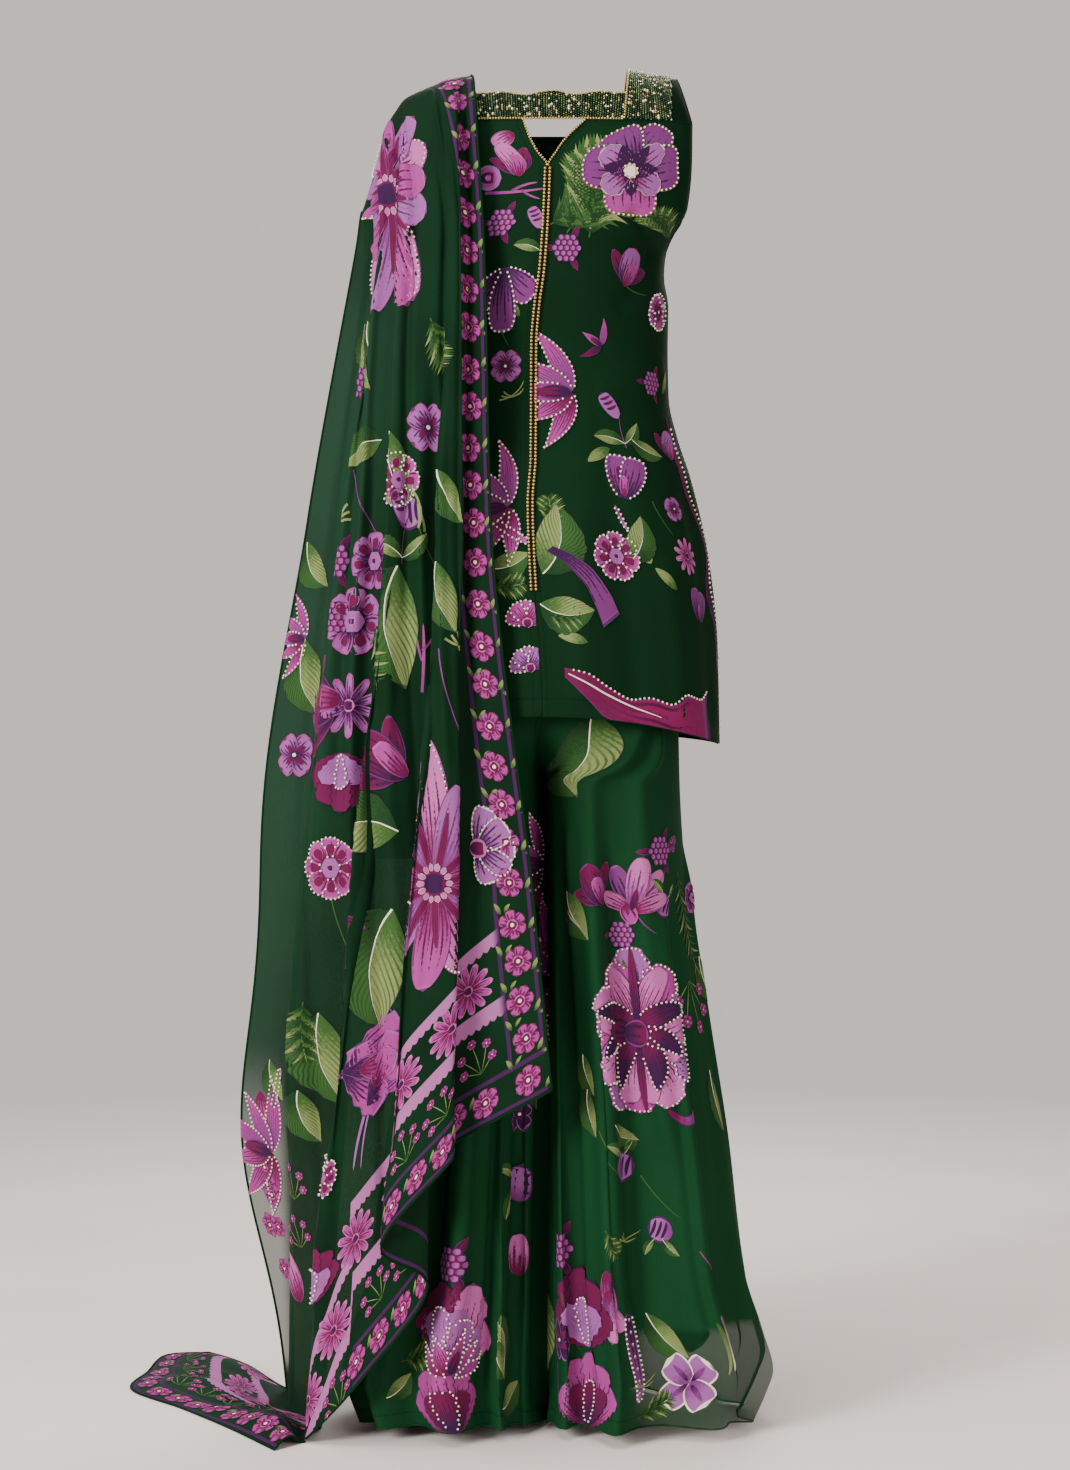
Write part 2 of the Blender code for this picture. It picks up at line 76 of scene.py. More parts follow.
# Kurta sections from the hem to the upper chest
BodyRow = namedtuple("BodyRow", "height half_width front_depth back_depth front_edge back_edge")
KURTA_ROWS = table(
    BodyRow,
    (0.73, 0.182, 0.15, 0.14, 0.016, 0.016), (0.85, 0.179, 0.142, 0.132, 0.015, 0.015),
    (0.934, 0.17, 0.134, 0.124, 0.011, 0.011), (1.02, 0.1506, 0.121, 0.109, 0.005, 0.005),
    (1.065, 0.136, 0.112, 0.098, SEAM, SEAM), (1.107, 0.1268, 0.106, 0.09, SEAM, SEAM),
    (1.161, 0.1256, 0.108, 0.088, SEAM, SEAM), (1.205, 0.1262, 0.118, 0.092, SEAM, SEAM),
    (1.237, 0.1215, 0.123, 0.096, SEAM, SEAM), (1.258, 0.123, 0.122, 0.098, SEAM, SEAM),
    (1.284, 0.133, 0.119, 0.098, 0.042, 0.038), (1.303, 0.144, 0.115, 0.097, 0.053, 0.048),
    (1.35, 0.149, 0.106, 0.093, 0.054, 0.05), (1.395, 0.15, 0.094, 0.082, 0.043, 0.04),
)
BODY_FULLNESS = 2.25
KURTA_TOP = 1.395
FRONT_HEM_CENTRE = 0.772
FRONT_HEM_SIDE = 0.738
BACK_HEM_CENTRE = 0.742
BACK_HEM_SIDE = 0.735
HEM_RIPPLE = 0.005

# Centre front edges of the two kurta fronts, and the keyhole above them
CentreRow = namedtuple("CentreRow", "height right_front_edge left_front_edge")
CENTRE_ROWS = table(
    CentreRow,
    (0.73, -0.0084, -0.0076), (0.84, -0.0124, -0.0116), (0.9, -0.0176, -0.0168), (0.995, -0.0214, -0.0206),
    (1.04, -0.0184, -0.0176), (1.161, -0.0176, -0.0168), (1.2, -0.0145, -0.0137), (1.237, -0.0094, -0.0086),
    (1.3, -0.0051, -0.0043), (1.345, -0.0034, -0.0026), (1.36, -0.014, 0.006), (1.373, -0.021, 0.015),
    (1.395, -0.029, 0.037),
)
PLACKET_TOP = 1.343
PLACKET_BOTTOM = 0.902

# Shoulder straps
StrapRow = namedtuple("StrapRow", "side inner_ridge outer_ridge inner_height outer_height")
LEFT_STRAP = StrapRow(1, 0.0830, 0.1350, 1.4555, 1.4470)
RIGHT_STRAP = StrapRow(-1, 0.0830, 0.1350, 1.4443, 1.4328)
STRAP_INNER_BASE = 0.0770
BAND_TOP = 1.4235
BAND_WAVE = 0.0025

# Sharara legs
LegRow = namedtuple("LegRow", "height reach front_depth back_depth fullness parting")
LEG_GAP = 0.0003
INNER_SWAY = 0.0110
INNER_SWAY_DEPTH = 0.1000
INNER_SWAY_REACH = 0.0900
RIGHT_REACH = 0.860
LEG_ROWS = table(
    LegRow,
    (0.001, 0.213, 0.098, 0.098, 2.6, -0.008), (0.04, 0.231, 0.098, 0.1, 2.6, -0.008),
    (0.065, 0.239, 0.098, 0.102, 2.6, -0.008), (0.105, 0.229, 0.097, 0.101, 2.6, -0.008),
    (0.173, 0.209, 0.096, 0.099, 2.6, -0.008), (0.321, 0.193, 0.096, 0.098, 2.6, -0.008),
    (0.444, 0.175, 0.098, 0.098, 2.6, -0.008), (0.566, 0.157, 0.104, 0.1, 2.6, -0.008),
    (0.688, 0.148, 0.112, 0.104, 2.6, -0.008), (0.8, 0.145, 0.112, 0.106, 2.5, -0.007),
    (0.93, 0.14, 0.11, 0.104, 2.35, -0.003), (1.063, 0.1244, 0.1034, 0.0874, 2.25, 0.0),
)
LEG_TOP = 1.063
CROTCH_TOP = 0.840
CROTCH_BASE = 0.700
WAISTBAND_HEIGHT = 0.040
FRONT_HEM = 0.016
SIDE_HEM = 0.001
BACK_HEM = 0.004

# Leg folds: place across from the inner seam to the side seam, and depth at the hem
FoldRow = namedtuple("FoldRow", "place spread depth starts")
LEFT_FRONT_FOLDS = table(
    FoldRow,
    (0.105, 0.038, 0.03, 0.7), (0.265, 0.042, 0.04, 0.72), (0.43, 0.05, 0.052, 0.98), (0.65, 0.085, 0.03, 0.76),
    (0.87, 0.05, 0.018, 0.48),
)
RIGHT_FRONT_FOLDS = table(
    FoldRow,
    (0.15, 0.055, 0.044, 0.82), (0.325, 0.045, 0.036, 0.7), (0.5, 0.05, 0.04, 0.76), (0.69, 0.055, 0.032, 0.64),
    (0.87, 0.045, 0.018, 0.48),
)
LEFT_BACK_FOLDS = table(
    FoldRow,
    (0.13, 0.045, 0.032, 0.64), (0.31, 0.05, 0.038, 0.7), (0.49, 0.045, 0.034, 0.56), (0.68, 0.055, 0.032, 0.62),
    (0.87, 0.045, 0.016, 0.42),
)
RIGHT_BACK_FOLDS = table(
    FoldRow,
    (0.12, 0.045, 0.034, 0.6), (0.29, 0.045, 0.034, 0.68), (0.47, 0.055, 0.038, 0.64), (0.67, 0.05, 0.03, 0.56),
    (0.86, 0.045, 0.018, 0.44),
)
LINING_CENTRE = 0.0900
LiningRow = namedtuple("LiningRow", "height half_width depth")
LINING_ROWS = table(
    LiningRow,
    (0.115, 0.059, 0.078), (0.4, 0.054, 0.076), (0.7, 0.048, 0.074),
)

# Dupatta front fall: a row for each fold line from the neck edge to the arm edge
ScarfRow = namedtuple(
    "ScarfRow",
    "crest_x crest_height chest_x chest_height chest_y waist_x waist_y knee_x knee_y end_x end_height end_y")
SCARF_ROWS = table(
    ScarfRow,
    (-0.084, 1.452, -0.069, 1.257, -0.136, -0.062, -0.152, -0.021, -0.165, 0.001, 0.384, -0.172),
    (-0.094, 1.45, -0.095, 1.266, -0.136, -0.099, -0.149, -0.104, -0.16, -0.109, 0.323, -0.166),
    (-0.102, 1.448, -0.092, 1.265, -0.152, -0.091, -0.168, -0.096, -0.187, -0.101, 0.317, -0.2),
    (-0.112, 1.446, -0.1, 1.265, -0.149, -0.115, -0.163, -0.149, -0.182, -0.177, 0.224, -0.188),
    (-0.12, 1.443, -0.104, 1.266, -0.139, -0.108, -0.152, -0.125, -0.168, -0.128, 0.175, -0.16),
    (-0.135, 1.437, -0.125, 1.266, -0.133, -0.141, -0.147, -0.177, -0.158, -0.202, 0.07, -0.143),
    (-0.15, 1.43, -0.159, 1.267, -0.123, -0.171, -0.153, -0.208, -0.166, -0.26, 0.0022, -0.112),
    (-0.16, 1.422, -0.153, 1.268, -0.107, -0.161, -0.137, -0.192, -0.147, -0.247, 0.0022, -0.04),
    (-0.172, 1.4, -0.181, 1.27, -0.095, -0.217, -0.124, -0.259, -0.131, -0.287, 0.0022, 0.034),
    (-0.184, 1.363, -0.177, 1.27, -0.078, -0.21, -0.104, -0.252, -0.108, -0.283, 0.0022, 0.086),
    (-0.2, 1.307, -0.205, 1.274, -0.03, -0.257, -0.06, -0.308, -0.05, -0.294, 0.0022, 0.13),
)
SCARF_LEAST_HEIGHT = 0.0022
WAIST_HEIGHT = 0.976
BELLY_SPREAD = 0.17
LOW_BELLY = 0.034
BELLY_HEIGHT = 0.300
KNEE_HEIGHT = 0.612
STATION_SHARES = (0.0, 0.035, 0.08, 0.17, 0.38, 0.64, 1.0)
BROW_DROP = 0.06
BROW_DEPTH = 0.44
COLLAR_DROP = 0.27
COLLAR_DEPTH = 0.78

# Dupatta back fall, seen from the back
BackScarfRow = namedtuple("BackScarfRow", "place blade_x hip_x hip_y hem_x hem_y")
BACK_SCARF_ROWS = table(
    BackScarfRow,
    (0.0, -0.08, -0.072, 0.146, -0.06, 0.156), (0.2, -0.104, -0.114, 0.156, -0.112, 0.168),
    (0.3, -0.112, -0.107, 0.143, -0.104, 0.152), (0.5, -0.136, -0.152, 0.152, -0.16, 0.163),
    (0.62, -0.148, -0.146, 0.138, -0.152, 0.146), (0.8, -0.172, -0.196, 0.138, -0.214, 0.145),
    (0.9, -0.182, -0.192, 0.12, -0.208, 0.126), (1.0, -0.2, -0.236, 0.07, -0.262, 0.066),
)
BACK_SHARES = (0.0, 0.07, 0.16, 0.32, 0.64, 1.0)
BLADE_HEIGHT = 1.280
BLADE_Y = 0.112
BLADE_SIDE_Y = 0.050
BLADE_DROP = 0.035
BACK_BROW_DEPTH = 0.46
BACK_COLLAR_DEPTH = 0.82
BACK_HIP_HEIGHT = 0.960
BACK_END_HEIGHT = 0.600

# Dupatta end on the floor
FloorRow = namedtuple("FloorRow", "far_x far_y middle_rise")
FLOOR_ROWS = table(
    FloorRow,
    (-0.29, -0.148, 0.01), (-0.345, -0.052, 0.018), (-0.405, 0.04, 0.008), (-0.47, 0.131, 0.02),
    (-0.461, 0.22, 0.008), (-0.449, 0.305, 0.018), (-0.4, 0.32, 0.006),
)
FLOOR_STARTS = 0.600
FLOOR_REST = 0.0010

# Colours, linear
DEEP_GREEN = (0.0004, 0.0185, 0.0043)
# Painted light: the sharara's ground is a lightened copy of the georgette green, standing in for the light on the legs
PAINTED_LIGHT_LEG_GREEN = (0.0026, 0.0370, 0.0108)
# Painted light: a pale haze over the outer side of the dupatta's front fall
PAINTED_HAZE_GREEN = (0.0150, 0.0500, 0.0260)
GOLD = (0.560, 0.350, 0.110)
CREAM = (0.800, 0.740, 0.560)
BORDER_PURPLE = (0.0550, 0.0080, 0.0660)
BAND_PINK = (0.380, 0.120, 0.300)
OUTLINE = (0.0180, 0.0020, 0.0220)
TONES = {
    "plum": (0.0300, 0.0030, 0.0400), "maroon": (0.1150, 0.0030, 0.0460), "mauve": (0.1650, 0.0280, 0.1500),
    "lilac": (0.2800, 0.0800, 0.2750), "orchid": (0.3200, 0.0400, 0.2150), "pink": (0.4500, 0.1050, 0.3150),
    "wine": (0.2000, 0.0060, 0.0750), "olive": (0.2050, 0.2450, 0.0800), "leaf": (0.0280, 0.0850, 0.0160),
    "shade": (0.0060, 0.0320, 0.0060), "gold": GOLD, "cream": CREAM,
}


# Reading the tables


def smooth(places, values, at):
    """Values on a smooth curve through the points, without overshoot, at an array of places."""
    places = np.asarray(places, float)
    values = np.asarray(values, float)
    at = np.clip(np.asarray(at, float), places[0], places[-1])
    rises = np.diff(values) / np.diff(places)
    before, after = rises[:-1], rises[1:]
    total = before + after
    inner = np.where(before * after > 0.0, 2.0 * before * after / np.where(total == 0.0, 1.0, total), 0.0)
    slopes = np.concatenate(([rises[0]], inner, [rises[-1]]))
    low = np.clip(np.searchsorted(places, at, side="right") - 1, 0, len(places) - 2)
    width = places[low + 1] - places[low]
    share = (at - places[low]) / width
    square, cube = share ** 2, share ** 3
    return (
        values[low] * (2.0 * cube - 3.0 * square + 1.0)
        + slopes[low] * width * (cube - 2.0 * square + share)
        + values[low + 1] * (3.0 * square - 2.0 * cube)
        + slopes[low + 1] * width * (cube - square)
    )


def column(rows, name):
    return np.array([getattr(row, name) for row in rows], float)


def read(rows, name, at, key="height"):
    return smooth(column(rows, key), column(rows, name), at)


def rounded(values, at):
    """Values at fractional indices on a rounded curve through evenly spaced values."""
    values = np.asarray(values, float)
    padded = np.concatenate(([2.0 * values[0] - values[1]], values, [2.0 * values[-1] - values[-2]]))
    low = np.clip(np.asarray(at, float).astype(int), 0, len(values) - 2)
    share = at - low
    before, first, second, after = (padded[low + step] for step in range(4))
    return 0.5 * (
        2.0 * first
        + (second - before) * share
        + (2.0 * before - 5.0 * first + 4.0 * second - after) * share ** 2
        + (3.0 * first - before - 3.0 * second + after) * share ** 3
    )


def reach_of(line):
    """Distance along a line of points, at each of them."""
    return np.concatenate(([0.0], np.cumsum(np.linalg.norm(np.diff(line, axis=0), axis=1))))


def spaced(line, reach, wanted):
    return np.stack([np.interp(wanted, reach, line[:, axis]) for axis in range(line.shape[1])], axis=-1)


def ease(share):
    share = np.clip(share, 0.0, 1.0)
    return share * share * (3.0 - 2.0 * share)


def mix(first, second, share):
    return first + (second - first) * share


def signed_power(value, power):
    return np.sign(value) * np.abs(value) ** power


def points(x, y, height):
    """Array of points in the part's own frame."""
    x, y, height = np.broadcast_arrays(x, y, height)
    return np.stack((x, y, height - SHOULDER_HEIGHT), axis=-1)


# Surfaces: each takes arrays across and along, from 0 to 1


def kurta_points(height, turn, face, out=0.0):
    side = "front" if face < 0 else "back"
    half_width = read(KURTA_ROWS, "half_width", height)
    depth = read(KURTA_ROWS, side + "_depth", height)
    edge = read(KURTA_ROWS, side + "_edge", height)
    power = 2.0 / BODY_FULLNESS
    fall = np.maximum(np.cos(turn), 0.0) ** power
    ripple = HEM_RIPPLE * ease((1.02 - height) / 0.28) * np.sin(3.2 * turn + 0.6) * np.cos(turn) ** 2
    deep = edge + (depth - edge + ripple + out) * fall
    return points((half_width + out) * signed_power(np.sin(turn), power), face * deep, height)


def body_turn(share):
    return np.sign(share) * np.arcsin(np.minimum(np.abs(share), 1.0) ** (BODY_FULLNESS / 2.0))


def kurta_front(side):
    name = "left_front_edge" if side > 0 else "right_front_edge"

    def place(across, along):
        hem = mix(FRONT_HEM_CENTRE, FRONT_HEM_SIDE, ease(across))
        height = mix(hem, KURTA_TOP, along)
        half_width = read(KURTA_ROWS, "half_width", height)
        inner = body_turn(read(CENTRE_ROWS, name, height) / half_width)
        return kurta_points(height, mix(inner, side * math.pi / 2.0, across), -1)

    return place


def kurta_back(across, along):
    turn = mix(-math.pi / 2.0, math.pi / 2.0, across)
    hem = mix(BACK_HEM_SIDE, BACK_HEM_CENTRE, np.cos(turn) ** 2)
    return kurta_points(mix(hem, KURTA_TOP, along), turn, 1)


def placket(across, along):
    height = mix(PLACKET_BOTTOM, PLACKET_TOP, along)
    half_width = read(KURTA_ROWS, "half_width", height)
    left = read(CENTRE_ROWS, "left_front_edge", height)
    right = read(CENTRE_ROWS, "right_front_edge", height)
    x = 0.5 * (left + right) + mix(-0.0045, 0.0045, across)
    return kurta_points(height, body_turn(x / half_width), -1, 0.0012)


def yoke_depth(x, face):
    point = kurta_points(KURTA_TOP, body_turn(x / KURTA_ROWS[-1].half_width), face)
    return np.abs(point[..., 1])


def strap(row):
    def place(across, along):
        turn = math.pi * along
        climb = np.sin(turn)
        base_x = mix(STRAP_INNER_BASE, KURTA_ROWS[-1].half_width, across)
        ridge_x = mix(row.inner_ridge, row.outer_ridge, across)
        ridge = mix(row.inner_height, row.outer_height, across)
        depth = np.where(along < 0.5, -yoke_depth(base_x, -1), yoke_depth(base_x, 1))
        base = KURTA_TOP + 2.0 * SEAM
        return points(row.side * mix(base_x, ridge_x, climb), depth * np.abs(np.cos(turn)), mix(base, ridge, climb))

    return place


def neck_band(across, along):
    base = KURTA_TOP + 2.0 * SEAM
    share = mix(-1.0, 1.0, across)
    ridge = np.where(share > 0.0, LEFT_STRAP.inner_height, RIGHT_STRAP.inner_height)
    top = BAND_TOP + BAND_WAVE * np.cos(9.0 * share) * (1.0 - share ** 2)
    height = mix(base, top, along)
    climb = (height - base) / (ridge - base)
    edge = mix(STRAP_INNER_BASE, LEFT_STRAP.inner_ridge, climb) - 2.0 * SEAM
    depth = yoke_depth(share * STRAP_INNER_BASE, -1) * np.sqrt(np.maximum(1.0 - climb ** 2, 0.0))
    return points(share * edge, -depth, height)


def leg(side, face, folds):
    depth_name = "front_depth" if face < 0 else "back_depth"
    middle_hem = FRONT_HEM if face < 0 else BACK_HEM

    def place(across, along):
        hem = mix(SIDE_HEM, middle_hem, np.maximum(np.sin(math.pi * across), 0.0) ** 0.7)
        height = mix(LEG_TOP, hem, along)
        reach = read(LEG_ROWS, "reach", height)
        depth = read(LEG_ROWS, depth_name, height)
        parting = read(LEG_ROWS, "parting", height)
        power = 2.0 / read(LEG_ROWS, "fullness", height)
        parted = ease((CROTCH_TOP - height) / (CROTCH_TOP - CROTCH_BASE))
        if side < 0:
            reach = reach * mix(1.0, RIGHT_REACH, parted)
        inner = SEAM + LEG_GAP * np.minimum(4.0 * parted, 1.0)
        centre = parted * (reach + inner) / 2.0
        half = reach - centre
        inner_share = np.minimum(np.abs((inner - centre) / half), 1.0) ** (1.0 / power)
        turn = np.arccos(np.where(inner >= centre, inner_share, -inner_share)) * (1.0 - across)
        x = centre + half * signed_power(np.cos(turn), power)
        y = depth * np.maximum(np.sin(turn), 0.0) ** power
        fold = np.zeros_like(height)
        for row in folds:
            drop = ease((row.starts - height) / (row.starts - FRONT_HEM)) ** 0.8
            fold = fold + row.depth * drop * np.exp(-(((across - row.place) / row.spread) ** 2))
        fold = fold * ease(across / 0.06) * ease((1.0 - across) / 0.06)
        x = np.maximum(x + fold * np.maximum(np.cos(turn), 0.0), inner)
        y = y + fold * np.sin(turn) + SEAM
        sway = np.cos(math.pi * y / INNER_SWAY_DEPTH) * ease(1.0 - x / INNER_SWAY_REACH)
        x = x + side * INNER_SWAY * parted * sway
        return points(parting + side * x, face * y, height)

    return place


def waistband(face):
    row = LEG_ROWS[-1]

    def place(across, along):
        turn = math.pi * across
        power = 2.0 / row.fullness
        depth = row.front_depth if face < 0 else row.back_depth
        x = row.reach * signed_power(np.cos(turn), power)
        y = depth * np.maximum(np.sin(turn), 0.0) ** power + SEAM
        height = mix(LEG_TOP + 2.0 * SEAM, LEG_TOP + WAISTBAND_HEIGHT, along)
        return points(row.parting + x, face * y, height)

    return place


def lining(across, along):
    turn = 2.0 * math.pi * across
    height = mix(LINING_ROWS[0].height, LINING_ROWS[-1].height, along)
    half_width = read(LINING_ROWS, "half_width", height)
    depth = read(LINING_ROWS, "depth", height)
    return points(LINING_CENTRE + half_width * np.cos(turn), depth * np.sin(turn), height)


def over_shoulder(crest, chest, brow_depth, collar_depth):
    """The two stations between the shoulder crest and the chest or the blade."""
    return [(mix(crest[0], chest[0], share), chest[1] * depth, mix(crest[2], chest[2], drop))
            for share, depth, drop in ((0.2, brow_depth, BROW_DROP), (0.4, collar_depth, COLLAR_DROP))]


def scarf_stations(across):
    """Stations down the lines of the front fall, from the shoulder crest to the end."""
    at = across * (len(SCARF_ROWS) - 1)
    line = {name: rounded(column(SCARF_ROWS, name), at) for name in ScarfRow._fields}
    nought = np.zeros_like(at)
    crest = (line["crest_x"], nought, line["crest_height"])
    chest = (line["chest_x"], line["chest_y"], line["chest_height"])
    brow, collar = over_shoulder(crest, chest, BROW_DEPTH, COLLAR_DEPTH)
    waist = (line["waist_x"], line["waist_y"], nought + WAIST_HEIGHT)
    knee = (line["knee_x"], line["knee_y"], nought + KNEE_HEIGHT)
    end = (line["end_x"], line["end_y"], np.maximum(line["end_height"], SCARF_LEAST_HEIGHT))
    return (crest, brow, collar, chest, waist, knee, end)


def along_stations(stations, shares, along):
    """Smooth curves through stations whose values differ from line to line."""
    result = []
    for axis in zip(*stations):
        values = np.stack(axis)
        lines = [smooth(shares, values[:, index], along[0]) for index in range(values.shape[1])]
        result.append(np.stack(lines))
    return result


def scarf_front(across, along):
    x, y, height = along_stations(scarf_stations(across[:, 0]), STATION_SHARES, along)
    belly = LOW_BELLY * ease((across - 0.80) / 0.20) * np.exp(-((height - BELLY_HEIGHT) / BELLY_SPREAD) ** 2)
    return points(x - belly, y, height)


def scarf_back(across, along):
    line = across[:, 0]
    crest = scarf_stations(line)[0]
    blade_y = mix(BLADE_Y, BLADE_SIDE_Y, line ** 2)
    blade_x = read(BACK_SCARF_ROWS, "blade_x", line, "place")
    blade = (blade_x, blade_y, np.minimum(BLADE_HEIGHT, crest[2] - BLADE_DROP))
    brow, collar = over_shoulder(crest, blade, BACK_BROW_DEPTH, BACK_COLLAR_DEPTH)
    nought = np.zeros_like(line)
    hip_x, hip_y, hem_x, hem_y = (
        read(BACK_SCARF_ROWS, name, line, "place") for name in ("hip_x", "hip_y", "hem_x", "hem_y")
    )
    hip = (hip_x, hip_y, nought + BACK_HIP_HEIGHT)
    end = (hem_x, hem_y, nought + BACK_END_HEIGHT)
    x, y, height = along_stations((crest, brow, collar, blade, hip, end), BACK_SHARES, along)
    return points(x, y, height)


def scarf_floor(across, along):
    at = across[:, 0] * (len(FLOOR_ROWS) - 1)
    root = scarf_stations(mix(FLOOR_STARTS, 1.0, across[:, 0]))[-1]
    far_x, far_y, rise = (rounded(column(FLOOR_ROWS, name), at)[:, None] for name in FloorRow._fields)
    x = mix(root[0][:, None], far_x, along)
    y = mix(root[1][:, None], far_y, along)
    return points(x, y, FLOOR_REST + rise * np.sin(math.pi * along) * ease(2.0 * along))


# Creases: straight soft troughs or ridges between two places of a panel, in shares across and along

Crease = namedtuple("Crease", "from_across from_along to_across to_along width depth")


class Cloth:
    """A sheet of cloth as a grid of points, with what is needed to lay a print on it."""

    def __init__(self, place, across, along, outward, creases=(), even=True):
        steps = np.meshgrid(np.linspace(0.0, 1.0, across + 1), np.linspace(0.0, 1.0, along + 1), indexing="ij")
        grid = place(*steps)
        if even:
            grid = self.evened(grid, across)
        self.outward = outward
        self.grid = grid
        self.measure()
        if creases:
            self.press(creases)

    @staticmethod
    def evened(grid, across):
        """The same sheet with its points evenly spaced across, so that a print isn't stretched."""
        result = np.empty_like(grid)
        for row in range(grid.shape[1]):
            line = grid[:, row]
            reach = reach_of(line)
            result[:, row] = spaced(line, reach, np.linspace(0.0, reach[-1], across + 1))
        return result

    def measure(self):
        grid = self.grid
        self.widths = np.linalg.norm(np.diff(grid, axis=0), axis=2).sum(axis=0)
        steps = np.linalg.norm(np.diff(grid, axis=1), axis=2)
        self.reaches = np.concatenate((np.zeros((len(grid), 1)), np.cumsum(steps, axis=1)), axis=1)
        self.lengths = self.reaches[:, -1]
        normal = np.cross(np.gradient(grid, axis=0), np.gradient(grid, axis=1))
        size = np.linalg.norm(normal, axis=2, keepdims=True)
        normal = normal / np.maximum(size, 1e-12)
        sign = np.sign(np.sum(normal * np.asarray(self.outward)))
        self.flipped = sign < 0
        self.normal = normal * sign

    def press(self, creases):
        """Presses the creases in, along the sheet's own normals."""
        across = np.linspace(0.0, 1.0, self.grid.shape[0])[:, None]
        along = np.linspace(0.0, 1.0, self.grid.shape[1])[None, :]
        width, length = self.widths.mean(), self.lengths.mean()
        depth = np.zeros(self.grid.shape[:2])
        for crease in creases:
            dx = (crease.to_across - crease.from_across) * width
            dy = (crease.to_along - crease.from_along) * length
            px = (across - crease.from_across) * width
            py = (along - crease.from_along) * length
            share = np.clip((px * dx + py * dy) / (dx * dx + dy * dy), 0.0, 1.0)
            gap = np.hypot(px - share * dx, py - share * dy)
            taper = ease(share / CREASE_TAPER) * ease((1.0 - share) / CREASE_TAPER)
            depth += crease.depth * taper * np.exp(-((gap / crease.width) ** 2))
        edge = ease(across / 0.03) * ease((1.0 - across) / 0.03)
        self.grid = self.grid + self.normal * (depth * edge)[..., None]
        self.measure()

    def at(self, across, along, field=None):
        """Points, or another field's values, at arrays of places."""
        field = self.grid if field is None else field
        rows, columns = field.shape[:2]
        s = np.clip(across, 0.0, 1.0) * (rows - 1)
        t = np.clip(along, 0.0, 1.0) * (columns - 1)
        i = np.minimum(s.astype(int), rows - 2)
        j = np.minimum(t.astype(int), columns - 2)
        s, t = (s - i)[..., None], (t - j)[..., None]
        near = field[i, j] * (1 - s) + field[i + 1, j] * s
        far = field[i, j + 1] * (1 - s) + field[i + 1, j + 1] * s
        return near * (1 - t) + far * t

    def find(self, x, height, front=-1.0):
        """Place whose point lies nearest to that x and height, seen from the front or the back."""
        gap = np.hypot(self.grid[..., 0] - x, self.grid[..., 2] - (height - SHOULDER_HEIGHT))
        near = gap < max(gap.min() + 0.004, 0.006)
        depth = np.where(near, front * -self.grid[..., 1], np.inf)
        i, j = np.unravel_index(np.argmin(depth + gap * 2.0), depth.shape)
        return i / (self.grid.shape[0] - 1), j / (self.grid.shape[1] - 1)

    def spread(self, across, along, flat):
        """Places on the sheet, which may run past its edges, of flat places round a spot in metres."""
        rows, columns = self.grid.shape[:2]
        i = int(np.clip(round(across * (rows - 1)), 2, rows - 3))
        j = int(np.clip(round(along * (columns - 1)), 2, columns - 3))
        right = (self.grid[i + 2, j] - self.grid[i - 2, j]) * (rows - 1) / 4.0
        up = (self.grid[i, j + 2] - self.grid[i, j - 2]) * (columns - 1) / 4.0
        second = up * self.rising
        first = right - up * (right.dot(up) / up.dot(up))
        first = first / np.linalg.norm(first)
        if np.cross(first, second).dot(self.normal[i, j]) < 0:
            first = -first
        second = second - first * second.dot(first)
        second = second / np.linalg.norm(second)
        along_at = along + flat[..., 1] / up.dot(second)
        slip = flat[..., 0] - (along_at - along) * up.dot(first)
        width = np.interp(np.clip(along_at, 0, 1), np.linspace(0, 1, columns), self.widths)
        return across + slip / (np.sign(right.dot(first)) * width), along_at

    def lay(self, across, along, flat, lift):
        """Points for flat places, in metres right and up from a place on the sheet, lifted off it."""
        across_at, along_at = self.spread(across, along, flat)
        spot = self.at(across_at, along_at)
        return spot + self.at(across_at, along_at, self.normal) * lift[..., None]


# Print: petals, leaves and stems laid as fine flat shapes. A motif's petals are in shares of its size.

Petal = namedtuple(
    "Petal", "x y angle length width colours base tip bend layer hatch rim_width beads frills notch veins edges",
    defaults=(0.6, 0.45, 0.0, 0, 9.0, 0.10, False, 0, 0.0, 0.0, ()))
EDGE_FRILL = 0.030
PETAL_FRILL = 0.11


def flat_petal(row, u, v):
    """Flat points of a petal, in metres from its motif's centre, for arrays along and across it."""
    u = np.clip(u, 0.0, 1.0)
    if row.edges:
        share, low, high = np.array(row.edges).T
        x, y = u * row.length, mix(smooth(share, low, u), smooth(share, high, u), (v + 1.0) / 2.0) * row.length
        if row.frills:
            wave = np.abs(np.sin(math.pi * row.frills * u)) * (v + 1.0) / 2.0
            y = y + math.copysign(EDGE_FRILL, high[2]) * row.length * wave
    else:
        peak = row.base / (row.base + row.tip) if row.base + row.tip > 0 else 1.0
        top = max(peak ** row.base * (1.0 - peak) ** row.tip, 1e-6) if row.base > 0 else 1.0
        half = row.width / 2.0 * ((u ** row.base if row.base > 0 else 1.0) * (1.0 - u) ** row.tip / top)
        if row.frills:
            half = half * (1.0 + PETAL_FRILL * np.cos(2.0 * math.pi * row.frills * u) * v ** 2)
        reach = u - row.notch * u ** 5 * (1.0 - v ** 2)
        if abs(row.bend) > 1e-3:
            x = row.length * np.sin(row.bend * reach) / row.bend
            y = row.length * (1.0 - np.cos(row.bend * reach)) / row.bend
        else:
            x, y = row.length * reach, np.zeros_like(reach)
        x = x - np.sin(row.bend * reach) * half * v
        y = y + np.cos(row.bend * reach) * half * v
    turn = math.radians(row.angle)
    return np.stack(
        (row.x + x * math.cos(turn) - y * math.sin(turn), row.y + x * math.sin(turn) + y * math.cos(turn)), axis=-1)


